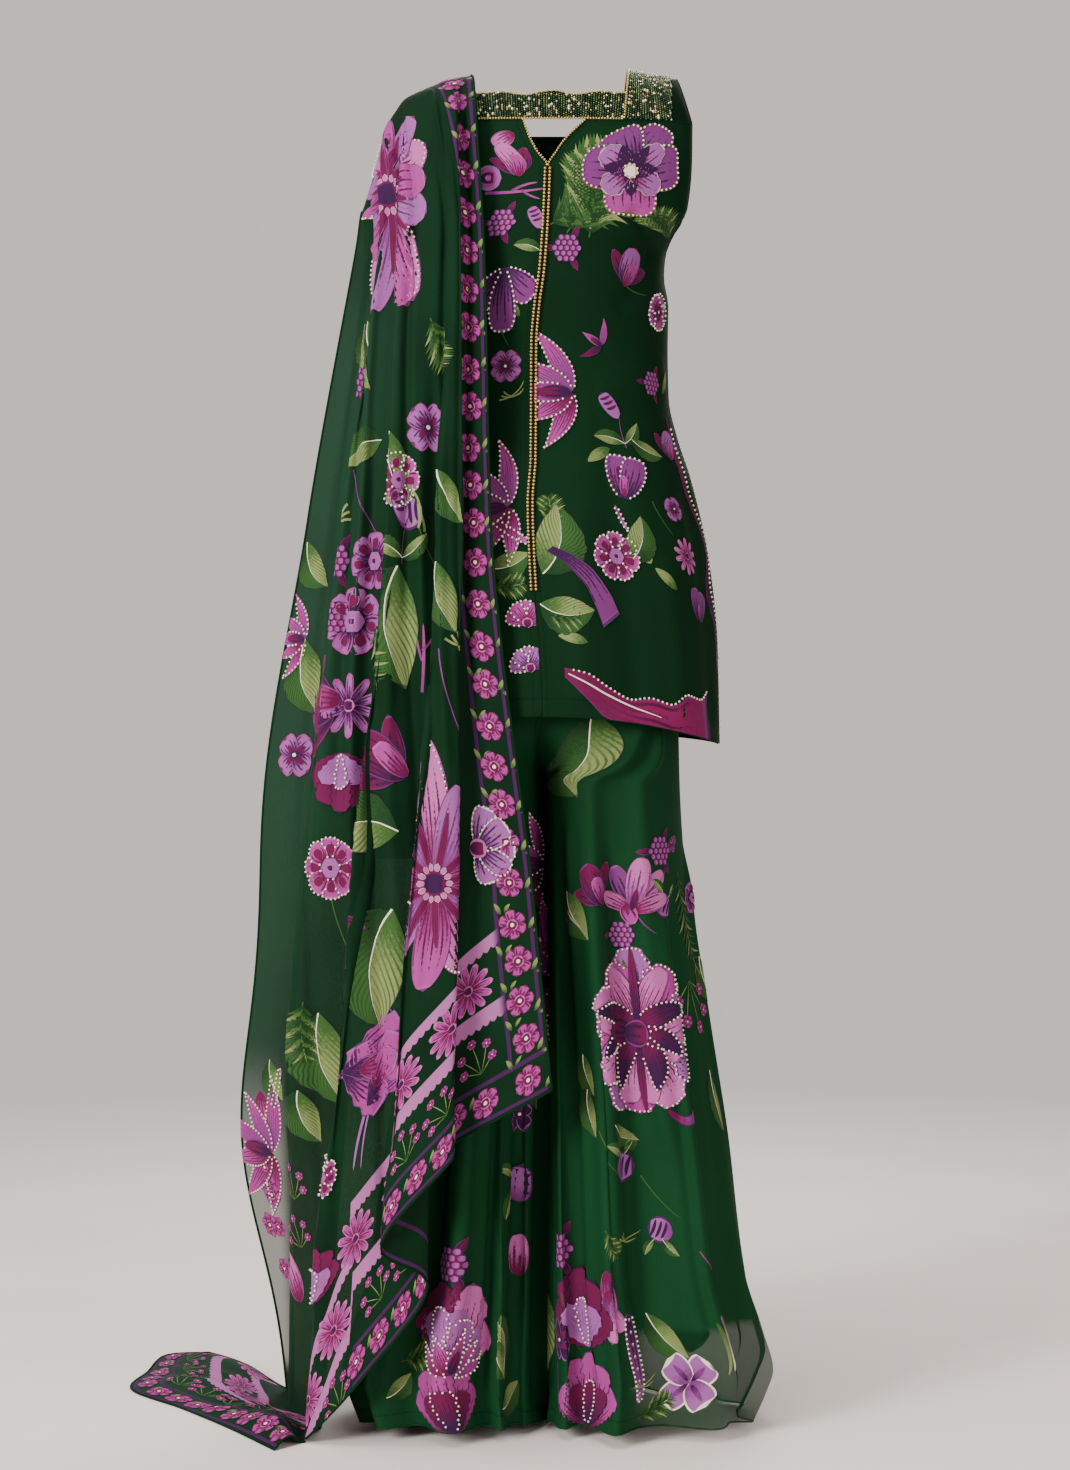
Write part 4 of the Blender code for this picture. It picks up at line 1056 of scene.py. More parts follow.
LEG_LEFT_PRINT = table(
    Spot,
    ("tulip_dusk", 0.0582, 0.5786, 0.0438, 34), ("lotus_side", 0.0854, 0.566, 0.0564, -10),
    ("berry", 0.075, 0.5397, 0.0282, 0), ("drip", 0.075, 0.5134, 0.025, -80), ("lotus", 0.094, 0.4354, 0.1252, 0),
    ("hook", 0.1361, 0.3446, 0.0376, 0), ("leaf_small", 0.0342, 0.4154, 0.0459, -78),
    ("leaf_small", 0.0374, 0.3784, 0.0522, -84), ("leaf_small", 0.0678, 0.3382, 0.0438, -35),
    ("bud_striped", 0.0805, 0.2938, 0.0334, 0), ("bud_striped", 0.1153, 0.227, 0.0292, 170),
    ("berry", 0.1157, 0.6291, 0.0313, 0), ("bell", 0.1324, 0.6395, 0.0271, -60),
    ("stem_mauve", 0.1063, 0.587, 0.0334, 30), ("bud_striped", 0.12, 0.5702, 0.0271, -20),
    ("feather_violet", 0.1398, 0.606, 0.1357, -80), ("leaf_narrow", 0.1696, 0.389, 0.0689, -84),
    ("feather", 0.0574, 0.2281, 0.0355, -60), ("pink_fold", 0.0585, 0.1899, 0.0793, -84),
    ("pearl_branch", 0.0818, 0.1431, 0.1002, -92), ("curls", 0.0903, 0.0654, 0.0376, -50),
    ("four_petal", 0.1462, 0.0622, 0.0647, 0), ("crescent", 0.1808, 0.1367, 0.0647, -64),
    ("pansy_dusk", 0.0059, 0.1069, 0.0459, 0), ("stem_mauve", 0.0028, 0.0814, 0.0584, -88),
    ("shade_fan", 0.0397, 0.1006, 0.0877, 90), ("magenta_fan", 0.0397, 0.0153, 0.0814, 90),
    ("berry", 0.0133, 0.2037, 0.0376, 0), ("leaf_small", 0.0163, 0.5629, 0.0376, -50),
    ("feather", 0.0946, 0.0281, 0.0417, 20), ("leaf_large", 0.0433, 0.7715, 0.1002, -72),
    ("leaf", 0.0163, 0.587, 0.0584, -70), ("sprigs", 0.1582, 0.4591, 0.0631, 190),
    ("leaf_small", 0.1623, 0.5121, 0.0547, -80), ("rosette_dusk", 0.1601, 0.5705, 0.0358, 0),
    ("leaf_large", -0.032, 0.1559, 0.0939, -96), ("leaf_small", 0.1028, 0.1346, 0.0626, -60),
    ("stem_mauve", 0.0875, 0.5629, 0.0355, -60), ("stem_green", 0.0521, 0.3361, 0.0626, -70),
    ("stem_green", 0.0942, 0.2832, 0.0626, -60), ("curls", 0.0732, 0.2196, 0.0417, -60),
    ("stem_green", 0.0103, 0.1604, 0.0736, -84), ("stem_mauve", 0.1588, 0.2032, 0.0526, -60),
)
LEG_RIGHT_PRINT = table(
    Spot,
    ("berry", -0.1101, 0.1922, 0.0377, 0), ("petal_pink", -0.0363, 0.1698, 0.046, 82),
    ("hem_flower", -0.106, 0.0813, 0.0963, 80), ("magenta_fan", -0.1008, 0.0129, 0.0774, 100),
    ("shade_fan", -0.1166, 0.1058, 0.0732, 100), ("petal_pink", -0.0764, 0.1026, 0.0523, 95),
    ("leaf_large", -0.0447, 0.077, 0.0628, 100), ("leaf", -0.0574, 0.1112, 0.046, -80),
    ("leaf", -0.0479, 0.0343, 0.0502, 20), ("feather", -0.1568, 0.0834, 0.0481, 10),
    ("petal_plum", -0.0193, 0.6093, 0.0481, -80), ("lily_dusk", -0.0215, 0.488, 0.0628, 90),
    ("lily_dusk", -0.0236, 0.4193, 0.0586, -95), ("pansy_dusk", -0.032, 0.3451, 0.0377, 0),
    ("leaf_small", -0.1748, 0.0471, 0.0418, 30), ("fork", 0.0016, 0.6387, 0.0314, -80),
    ("lily_dusk", -0.0057, 0.6075, 0.0631, 80), ("lily_large", 0.0018, 0.4803, 0.101, 96),
    ("leaf", -0.0109, 0.4059, 0.0631, -80), ("bud_striped", -0.0321, 0.2673, 0.0421, 90),
)
SCARF_PRINT = table(
    Spot,
    ("feather", -0.1242, 1.1861, 0.062, -70), ("pansy", -0.1264, 1.0703, 0.0516, 0),
    ("rosette", -0.1574, 1.0168, 0.0578, 10), ("leaf", -0.1758, 1.0579, 0.0578, 200),
    ("bud", -0.1533, 0.9777, 0.0413, 0), ("rosette_dusk", -0.1844, 0.9345, 0.062, 0),
    ("daisy_blue", -0.2126, 0.7848, 0.0682, 0), ("half_fan", -0.0752, 0.6344, 0.0785, 0),
    ("rosette_eye", -0.2286, 0.6137, 0.0661, 0), ("petal_plum", -0.1945, 0.5637, 0.0413, -30),
    ("shade_fan", -0.2179, 0.733, 0.062, -90), ("lily", -0.2589, 0.852, 0.0578, 90),
    ("trumpet", -0.1856, 0.3739, 0.0868, 60), ("shade_fan", -0.2559, 0.1536, 0.0578, 88),
    ("feather", -0.2601, 0.4679, 0.0682, -100), ("pansy", -0.2696, 0.7278, 0.0475, 0),
    ("berry", -0.2227, 0.8726, 0.033, 0), ("leaf", -0.2586, 0.9551, 0.062, -60),
    ("rosette", -0.242, 0.2901, 0.0454, 0), ("berry", -0.2045, 1.1195, 0.033, 0),
    ("leaf", -0.2002, 1.181, 0.062, -80), ("border", -0.3112, 0.2761, 0.028, 0),
    ("border", -0.3019, 0.2424, 0.0311, 20), ("border", -0.2968, 0.2065, 0.027, 40),
    ("border", -0.2886, 0.1727, 0.0249, 10), ("small_leaves", -0.3142, 0.3024, 0.0166, 60),
    ("sprigs", -0.2809, 0.2656, 0.0457, 0), ("petal_pink", -0.314, 0.3603, 0.0623, -80),
    ("petal_pink", -0.273, 0.1282, 0.0623, 110), ("leaf", -0.3013, 0.3971, 0.0519, -70),
    ("sprigs", -0.2706, 0.2128, 0.0415, 10), ("sunburst", -0.1214, 0.6015, 0.2575, 0),
    ("leaf_large", -0.1583, 0.9292, 0.1246, -98), ("leaf_large", -0.1588, 0.6558, 0.0872, 178),
    ("leaf_large", -0.1652, 0.5722, 0.1225, -112), ("leaf", -0.1971, 1.1842, 0.081, -60),
    ("leaf_large", -0.2426, 0.4601, 0.1017, -84), ("rosette_dusk", -0.2061, 0.8701, 0.0727, 0),
    ("trumpet", -0.2094, 0.4045, 0.0997, -12), ("leaf", -0.1684, 1.0688, 0.0831, -80),
    ("tulip_dusk", -0.223, 0.7891, 0.0789, 100), ("leaf", -0.2602, 0.8514, 0.0831, -80),
    ("feather", -0.1854, 0.8722, 0.0831, -60), ("leaf", -0.123, 0.9344, 0.0727, -84),
    ("fork", -0.1357, 0.7995, 0.0727, 80), ("leaf_small", -0.1167, 1.0275, 0.0623, -70),
    ("tulip_dusk", -0.1524, 0.7121, 0.0623, 60), ("lily_large", -0.3026, 0.291, 0.098, 84),
    ("border", -0.3092, 0.2521, 0.032, 0), ("border", -0.3073, 0.2045, 0.032, 20),
    ("border", -0.2924, 0.1568, 0.0277, 40), ("pearl_stem", -0.3003, 0.345, 0.0533, 70),
    ("leaf", -0.2662, 0.371, 0.0634, -80), ("curls", -0.1302, 0.9655, 0.0623, 60),
    ("curls", -0.1076, 0.8514, 0.0623, -60), ("stem_green", -0.1477, 1.0275, 0.135, -84),
    ("stem_mauve", -0.1169, 0.8411, 0.1142, -88), ("stem_mauve", -0.2057, 1.0275, 0.1142, -70),
    ("curls", -0.2131, 0.9913, 0.0623, 200), ("stem_green", -0.2298, 0.5806, 0.0934, -80),
    ("stem_mauve", -0.1862, 0.502, 0.0934, -70), ("bud_striped", -0.1478, 0.981, 0.0353, 20),
    ("lily_small", -0.1316, 0.7267, 0.0415, 100), ("berry", -0.2288, 0.9344, 0.0353, 0),
    ("sunburst_tall", -0.1699, 1.3157, 0.29, 4),
)

# Plainer print of the sides that the front view doesn't show
KURTA_BACK_PRINT = table(
    Spot,
    ("great_pansy", -0.05, 1.29, 0.095, 0), ("feather", -0.01, 1.33, 0.07, 36), ("berry", 0.04, 1.34, 0.028, 0),
    ("tulip", 0.07, 1.26, 0.04, -20), ("lily", 0.02, 1.21, 0.07, 92), ("leaf", -0.08, 1.18, 0.05, 60),
    ("pansy", -0.03, 1.14, 0.034, 0), ("heart", 0.06, 1.12, 0.046, 0), ("bud", -0.07, 1.08, 0.032, 10),
    ("rosette", 0.0, 1.03, 0.054, 0), ("leaf", 0.08, 1.03, 0.052, -30), ("trefoil", -0.09, 1.0, 0.056, 0),
    ("daisy", 0.06, 0.95, 0.04, 0), ("branch", -0.05, 0.96, 0.09, -51), ("leaf", 0.01, 0.93, 0.046, 20),
    ("lily_large", 0.1, 0.87, 0.076, 90), ("berry", -0.11, 0.9, 0.03, 0), ("pansy", -0.03, 0.86, 0.042, 0),
    ("feather", 0.02, 0.81, 0.056, 60), ("hem_petal", -0.13, 0.775, 0.052, 84), ("hem_petal", -0.08, 0.77, 0.05, 92),
    ("rosette", 0.06, 0.79, 0.046, 0), ("hem_petal", 0.12, 0.775, 0.052, 96),
)
LEG_LEFT_BACK_PRINT = table(
    Spot,
    ("leaf_large", 0.06, 0.66, 0.09, -62), ("lotus", 0.11, 0.44, 0.12, 0), ("berry", 0.05, 0.56, 0.03, 0),
    ("tulip_dusk", 0.12, 0.62, 0.044, 20), ("bud_striped", 0.06, 0.3, 0.034, 0), ("leaf_small", 0.15, 0.3, 0.046, 40),
    ("pink_fold", 0.07, 0.22, 0.08, -84), ("four_petal", 0.15, 0.08, 0.062, 0), ("shade_fan", 0.06, 0.06, 0.086, 90),
    ("pansy_dusk", 0.11, 0.18, 0.044, 0), ("crescent", 0.185, 0.14, 0.062, -70),
)
LEG_RIGHT_BACK_PRINT = table(
    Spot,
    ("leaf_large", -0.06, 0.64, 0.09, -110), ("lotus_side", -0.12, 0.56, 0.06, 0),
    ("lily_large", -0.08, 0.44, 0.09, 90), ("berry", -0.13, 0.4, 0.032, 0), ("leaf", -0.05, 0.34, 0.056, 60),
    ("bud_striped", -0.11, 0.28, 0.034, 0), ("hem_flower", -0.08, 0.08, 0.09, 80),
    ("pansy_dusk", -0.15, 0.16, 0.044, 0), ("leaf", -0.16, 0.07, 0.056, 100),
)
SCARF_BACK_PRINT = table(
    Spot,
    ("sunburst", -0.15, 1.18, 0.16, 0), ("leaf_large", -0.12, 1.06, 0.09, -70), ("rosette", -0.18, 1.02, 0.056, 0),
    ("lily", -0.14, 0.96, 0.064, 90), ("leaf", -0.2, 0.93, 0.06, -120), ("berry", -0.17, 0.9, 0.032, 0),
    ("pansy", -0.15, 1.32, 0.05, 0), ("feather", -0.17, 1.26, 0.06, -70),
)

# Creases on each panel: long drags from the bust, soft verticals towards the hem
KURTA_RIGHT_CREASES = table(
    Crease,
    (0.1, 0.78, 0.62, 0.66, 0.012, -0.0024), (0.3, 0.6, 0.8, 0.52, 0.016, 0.0023),
    (0.18, 0.44, 0.7, 0.5, 0.014, -0.0019), (0.24, 0.0, 0.28, 0.42, 0.013, 0.0045),
    (0.47, 0.0, 0.43, 0.34, 0.016, -0.0051), (0.7, 0.0, 0.64, 0.46, 0.014, 0.0045),
    (0.88, 0.0, 0.84, 0.28, 0.012, -0.0039),
)
KURTA_LEFT_CREASES = table(
    Crease,
    (0.52, 0.86, 0.66, 0.77, 0.009, -0.0036), (0.72, 0.8, 0.4, 0.68, 0.013, -0.0025),
    (0.86, 0.6, 0.3, 0.55, 0.016, 0.0023), (0.8, 0.47, 0.26, 0.5, 0.012, -0.0019),
    (0.16, 0.0, 0.2, 0.36, 0.014, 0.0045), (0.38, 0.0, 0.35, 0.5, 0.016, -0.0054),
    (0.6, 0.0, 0.57, 0.3, 0.013, 0.0042), (0.82, 0.0, 0.78, 0.44, 0.015, -0.0045),
)
KURTA_BACK_CREASES = table(
    Crease,
    (0.2, 0.62, 0.6, 0.55, 0.016, -0.0027), (0.8, 0.58, 0.42, 0.5, 0.014, -0.0024),
    (0.3, 0.5, 0.74, 0.46, 0.018, 0.0027), (0.12, 0.0, 0.16, 0.36, 0.014, 0.0045),
    (0.3, 0.0, 0.33, 0.46, 0.017, -0.0051), (0.46, 0.0, 0.45, 0.3, 0.013, 0.0039),
    (0.64, 0.0, 0.61, 0.5, 0.016, -0.0051), (0.84, 0.0, 0.81, 0.32, 0.014, 0.0045),
)
LEG_LEFT_FRONT_CREASES = table(
    Crease,
    (0.2, 0.3, 0.18, 0.86, 0.0085, -0.0084), (0.34, 0.36, 0.35, 1.0, 0.0076, 0.0071),
    (0.52, 0.4, 0.54, 0.92, 0.0093, -0.0084), (0.6, 0.26, 0.64, 0.74, 0.011, 0.0077),
    (0.74, 0.44, 0.78, 1.0, 0.0102, -0.009), (0.9, 0.4, 0.93, 0.9, 0.0076, 0.0064),
    (0.06, 0.46, 0.05, 1.0, 0.0076, 0.0092), (0.12, 0.4, 0.11, 1.0, 0.0059, -0.0103),
    (0.27, 0.5, 0.26, 1.0, 0.0059, -0.0069), (0.44, 0.56, 0.45, 1.0, 0.0068, -0.0076),
    (0.67, 0.6, 0.7, 1.0, 0.0059, -0.0069),
)
LEG_RIGHT_FRONT_CREASES = table(
    Crease,
    (0.24, 0.34, 0.22, 0.94, 0.0085, -0.0084), (0.4, 0.42, 0.42, 1.0, 0.0085, 0.0077),
    (0.58, 0.38, 0.6, 0.88, 0.0102, -0.009), (0.78, 0.5, 0.8, 1.0, 0.0093, 0.0077),
    (0.07, 0.4, 0.06, 1.0, 0.0068, 0.0092), (0.14, 0.44, 0.13, 1.0, 0.0059, -0.0103),
    (0.32, 0.52, 0.31, 1.0, 0.0059, -0.0076), (0.49, 0.5, 0.5, 1.0, 0.0068, 0.008),
    (0.68, 0.56, 0.7, 1.0, 0.0059, -0.0076),
)
LEG_BACK_CREASES = table(
    Crease,
    (0.21, 0.26, 0.2, 0.9, 0.011, -0.0073), (0.38, 0.4, 0.4, 1.0, 0.01, 0.0062),
    (0.57, 0.32, 0.59, 0.96, 0.012, -0.0073), (0.76, 0.46, 0.77, 1.0, 0.011, 0.0062),
    (0.1, 0.44, 0.09, 1.0, 0.008, -0.008), (0.3, 0.54, 0.3, 1.0, 0.008, 0.0066),
    (0.48, 0.5, 0.49, 1.0, 0.007, -0.0064), (0.67, 0.56, 0.68, 1.0, 0.008, -0.0064),
)
SCARF_CREASES = table(
    Crease,
    (0.06, 0.04, 0.1, 0.52, 0.007, -0.0064), (0.14, 0.3, 0.16, 0.9, 0.009, 0.0074),
    (0.24, 0.02, 0.25, 0.6, 0.006, 0.007), (0.33, 0.24, 0.35, 0.96, 0.01, -0.0078),
    (0.43, 0.02, 0.42, 0.7, 0.007, -0.0074), (0.48, 0.44, 0.5, 0.98, 0.01, 0.0074),
    (0.56, 0.03, 0.57, 0.55, 0.007, 0.0074), (0.64, 0.3, 0.62, 0.92, 0.011, -0.0084),
    (0.71, 0.04, 0.7, 0.62, 0.008, -0.0074), (0.8, 0.2, 0.83, 0.86, 0.011, 0.0084),
    (0.89, 0.06, 0.88, 0.7, 0.009, -0.0074), (0.19, 0.05, 0.2, 0.97, 0.005, -0.006),
    (0.29, 0.1, 0.3, 0.8, 0.005, -0.0056), (0.38, 0.3, 0.39, 0.99, 0.006, 0.006),
    (0.53, 0.2, 0.53, 0.95, 0.005, -0.0064), (0.67, 0.08, 0.67, 0.99, 0.006, 0.0058),
    (0.76, 0.1, 0.77, 0.99, 0.005, -0.006),
)
SCARF_BACK_CREASES = table(
    Crease,
    (0.12, 0.05, 0.1, 0.9, 0.009, -0.0048), (0.4, 0.05, 0.42, 0.96, 0.01, -0.0051),
    (0.56, 0.1, 0.58, 0.8, 0.008, 0.0048), (0.72, 0.05, 0.7, 0.98, 0.011, -0.0051),
)
FLOOR_CREASES = table(
    Crease,
    (0.1, 0.1, 0.16, 0.9, 0.01, 0.003), (0.36, 0.2, 0.32, 0.95, 0.012, 0.0034), (0.58, 0.1, 0.62, 0.8, 0.01, 0.0032),
    (0.82, 0.3, 0.78, 0.95, 0.011, 0.003),
)


# Meshes


def unit_grid(across, along):
    """A flat grid from 0 to 1 as a bmesh; each vertex's place on it is its coordinate."""
    bm = bmesh.new()
    bmesh.ops.create_grid(bm, x_segments=across, y_segments=along, size=0.5)
    bmesh.ops.translate(bm, vec=(0.5, 0.5, 0.0), verts=bm.verts)
    return bm


def made(name, bm):
    mesh = bpy.data.meshes.new(name)
    bm.to_mesh(mesh)
    bm.free()
    return mesh


def places_of(mesh):
    spots = np.empty(len(mesh.vertices) * 3)
    mesh.vertices.foreach_get("co", spots)
    return spots.reshape(-1, 3)


def put(mesh, spots):
    mesh.vertices.foreach_set("co", np.ascontiguousarray(spots, dtype=np.float64).ravel())
    mesh.update()


def set_uv(mesh, name, spots):
    """Writes a place for each vertex to a UV map."""
    layer = mesh.uv_layers.get(name) or mesh.uv_layers.new(name=name)
    corners = np.empty(len(mesh.loops), dtype=np.int32)
    mesh.loops.foreach_get("vertex_index", corners)
    layer.data.foreach_set("uv", np.ascontiguousarray(spots[corners]).ravel())


def set_colour(mesh, name, values):
    values = np.concatenate((values, np.ones((len(values), 1))), axis=1)
    attribute = mesh.attributes.new(name, "FLOAT_COLOR", "POINT")
    attribute.data.foreach_set("color", np.ascontiguousarray(values).ravel())


def show(name, mesh, finish):
    """Puts a finished mesh in the scene as a piece that rides with the suit."""
    piece = bpy.data.objects.new(name, mesh)
    bpy.context.scene.collection.objects.link(piece)
    mesh.materials.clear()
    mesh.materials.append(finish.material)
    mesh.shade_smooth()
    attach(piece, "root")
    return piece


def cloth_mesh(name, cloth, from_inner, from_end):
    """The cloth as a mesh, with a UV map that holds distances from its inner edge and its end."""
    across, along = cloth.grid.shape[0] - 1, cloth.grid.shape[1] - 1
    mesh = made(name, unit_grid(across, along))
    share = places_of(mesh)
    i = np.rint(share[:, 0] * across).astype(int)
    j = np.rint(share[:, 1] * along).astype(int)
    put(mesh, cloth.grid[i, j])
    set_uv(mesh, "cut", np.stack((from_inner[i, j], from_end[i, j]), axis=-1))
    if cloth.flipped:
        mesh.flip_normals()
    return mesh


def cut_places(cloth, rising):
    """Distances from the inner edge and from the hem, for each point of a cloth."""
    share = np.linspace(0.0, 1.0, cloth.grid.shape[0])[:, None]
    inner = share * cloth.widths[None, :]
    end = cloth.reaches if rising else cloth.lengths[:, None] - cloth.reaches
    return inner, end


def arrayed(name, bm, count):
    """One mesh of many copies of a small shape, in order."""
    mesh = made(name + "_one", bm)
    source = bpy.data.objects.new(name + "_source", mesh)
    bpy.context.scene.collection.objects.link(source)
    array = source.modifiers.new("array", "ARRAY")
    array.use_relative_offset = False
    array.count = count
    held = source.evaluated_get(bpy.context.evaluated_depsgraph_get())
    result = bpy.data.meshes.new_from_object(held)
    result.name = name
    bpy.data.objects.remove(source)
    bpy.data.meshes.remove(mesh)
    return result


def inside(spots, outline):
    """Whether flat spots lie inside an outline."""
    x, y = spots[:, 0][:, None], spots[:, 1][:, None]
    first, second = outline, np.roll(outline, -1, axis=0)
    crosses = (first[:, 1] > y) != (second[:, 1] > y)
    rise = np.where(second[:, 1] == first[:, 1], 1e-9, second[:, 1] - first[:, 1])
    reach = first[:, 0] + (y - first[:, 1]) / rise * (second[:, 0] - first[:, 0])
    return np.sum(crosses & (x < reach), axis=1) % 2 == 1


# Least size of a petal, and its steps along and across
FINENESS = ((0.045, 20, 8), (0.017, 10, 5), (0.0, 5, 3))


def printed(name, laid, finish):
    """A print: each laid row is a cloth, a place on it and the petals round that place."""
    finished = []
    for level, (least, along, across) in enumerate(FINENESS):
        most = FINENESS[level - 1][0] if level else 1e9
        chosen = [
            (cloth, a, b, row, index)
            for index, (cloth, a, b, rows) in enumerate(laid)
            for row in rows
            if least <= max(row.length, row.width) < most
        ]
        if not chosen:
            continue
        mesh = arrayed(name + "_" + str(level), unit_grid(along, across), len(chosen))
        size = len(mesh.vertices) // len(chosen)
        share = places_of(mesh)[:size]
        u, v = share[:, 0], share[:, 1] * 2.0 - 1.0
        spots = np.empty((len(chosen), size, 3))
        for place, (cloth, a, b, row, index) in enumerate(chosen):
            lift = PRINT_LIFT + LAYER_STEP * row.layer + MOTIF_STEP * (index % 9)
            spots[place] = cloth.lay(a, b, flat_petal(row, u, v), np.full(size, lift))
        put(mesh, spots.reshape(-1, 3))
        set_uv(mesh, "petal", np.tile(np.stack((u, share[:, 1]), axis=-1), (len(chosen), 1)))
        for field, tones in zip(("inner", "outer", "rim"), zip(*(row.colours.split() for *_, row, _ in chosen))):
            set_colour(mesh, field, np.repeat([TONES[tone] for tone in tones], size, axis=0))
        style = [(row.rim_width, row.hatch / HATCH_MOST, row.veins) for *_, row, _ in chosen]
        set_colour(mesh, "style", np.repeat(style, size, axis=0))
        finished.append(mesh)
    bm = bmesh.new()
    for mesh in finished:
        bm.from_mesh(mesh)
        bpy.data.meshes.remove(mesh)
    return show(name, made(name, bm), finish)


def pearl_spots(laid, spacing, radius):
    """Places of pearls round the petals that carry them, clear of the petals above."""
    spots = []
    for cloth, a, b, rows in laid:
        outlines = [(row.layer, edge_line(row, 0.002)) for row in rows]
        for number, row in enumerate(rows):
            if not row.beads:
                continue
            line = edge_line(row._replace(width=row.width * 0.94, length=row.length * 0.97), spacing)
            keep = np.ones(len(line), bool)
            for other, (layer, outline) in enumerate(outlines):
                if other != number and layer > row.layer and len(outline) > 6:
                    keep &= ~inside(line, outline)
            across_at, along_at = cloth.spread(a, b, line)
            keep &= (across_at > 0.012) & (across_at < 0.988) & (along_at > 0.004) & (along_at < 0.996)
            if keep.any():
                lift = PRINT_LIFT + LAYER_STEP * (row.layer + 2) + radius * 0.6
                spots.append(cloth.lay(a, b, line[keep], np.full(int(keep.sum()), lift)))
    return np.concatenate(spots) if spots else np.empty((0, 3))


def beads(name, spots, radii, tones, finish, slot):
    """Small round beads as one mesh, with a size and a tone for each or for all."""
    bm = bmesh.new()
    bmesh.ops.create_icosphere(bm, subdivisions=1, radius=1.0)
    mesh = arrayed(name, bm, len(spots))
    size = len(mesh.vertices) // len(spots)
    shape = places_of(mesh)[:size]
    put(mesh, (spots[:, None, :] + shape[None] * np.asarray(radii).reshape(-1, 1, 1)).reshape(-1, 3))
    set_colour(mesh, "tone", np.repeat(np.broadcast_to(np.asarray(tones, float), spots.shape), size, axis=0))
    return show(name, mesh, finish)


def tube(bm, line, outward, radius, around=6):
    """A closed round cord along a line of points."""
    line, outward = np.asarray(line), np.asarray(outward)
    ahead = np.gradient(line, axis=0)
    ahead = ahead / np.maximum(np.linalg.norm(ahead, axis=1, keepdims=True), 1e-9)
    aside = np.cross(ahead, outward)
    aside = aside / np.maximum(np.linalg.norm(aside, axis=1, keepdims=True), 1e-9)
    outward = np.cross(aside, ahead)
    part = unit_grid(len(line) - 1, around)
    for vert in part.verts:
        index = int(round(vert.co.x * (len(line) - 1)))
        turn = 2.0 * math.pi * vert.co.y
        vert.co = line[index] + radius * (math.cos(turn) * outward[index] + math.sin(turn) * aside[index])
    bmesh.ops.remove_doubles(part, verts=part.verts, dist=radius * 0.05)
    bmesh.ops.holes_fill(part, edges=[edge for edge in part.edges if edge.is_boundary], sides=0)
    bmesh.ops.recalc_face_normals(part, faces=part.faces)
    mesh = made("cord", part)
    bm.from_mesh(mesh)
    bpy.data.meshes.remove(mesh)


EDGES = {
    "inner": (slice(0, 1), slice(None)),
    "outer": (slice(-1, None), slice(None)),
    "start": (slice(None), slice(0, 1)),
    "end": (slice(None), slice(-1, None)),
}


def edge_of(cloth, name, step=2):
    """Points and normals along one edge of a cloth."""
    key = EDGES[name]
    line = cloth.grid[key].reshape(-1, 3)
    outward = cloth.normal[key].reshape(-1, 3)
    keep = np.unique(np.append(np.arange(0, len(line), step), len(line) - 1))
    return line[keep], outward[keep]


def hems(name, cloth, hem):
    """Rolled edges of a cloth as one piece."""
    bm = bmesh.new()
    for side in hem.sides:
        tube(bm, *edge_of(cloth, side), hem.radius)
    return show(name + "_hems", made(name + "_hems", bm), finish_of(hem.finish))


# Materials


class Figure:
    """A number that changes over a surface."""

    def __init__(self, finish, socket):
        self.finish = finish
        self.socket = socket

    def work(self, operation, *others, first=None):
        figures = (self, *others) if first is None else (first, self)
        node = self.finish.node("ShaderNodeMath", {"operation": operation}, dict(enumerate(figures)))
        return Figure(self.finish, node.outputs[0])

    def __add__(self, other):
        return self.work("ADD", other)

    __radd__ = __add__

    def __sub__(self, other):
        return self.work("SUBTRACT", other)

    def __rsub__(self, other):
        return self.work("SUBTRACT", first=other)

    def __mul__(self, other):
        return self.work("MULTIPLY", other)

    __rmul__ = __mul__

    def __abs__(self):
        return self.work("ABSOLUTE")

    def sin(self):
        return self.work("SINE")

    def most(self, other):
        return self.work("MAXIMUM", other)

    def least(self, other):
        return self.work("MINIMUM", other)

    def soft_step(self, low, high):
        """0 below low and 1 above high, smoothly between them."""
        inputs = {0: self, 1: low, 2: high, 3: 0.0, 4: 1.0}
        node = self.finish.node("ShaderNodeMapRange", {"interpolation_type": "SMOOTHSTEP"}, inputs)
        return Figure(self.finish, node.outputs[0])

    def stripe(self, centre, half_width):
        """1 in a stripe of that half width, soft at its edges."""
        return 1.0 - abs(self - centre).soft_step(half_width * 0.75, half_width * 1.25)


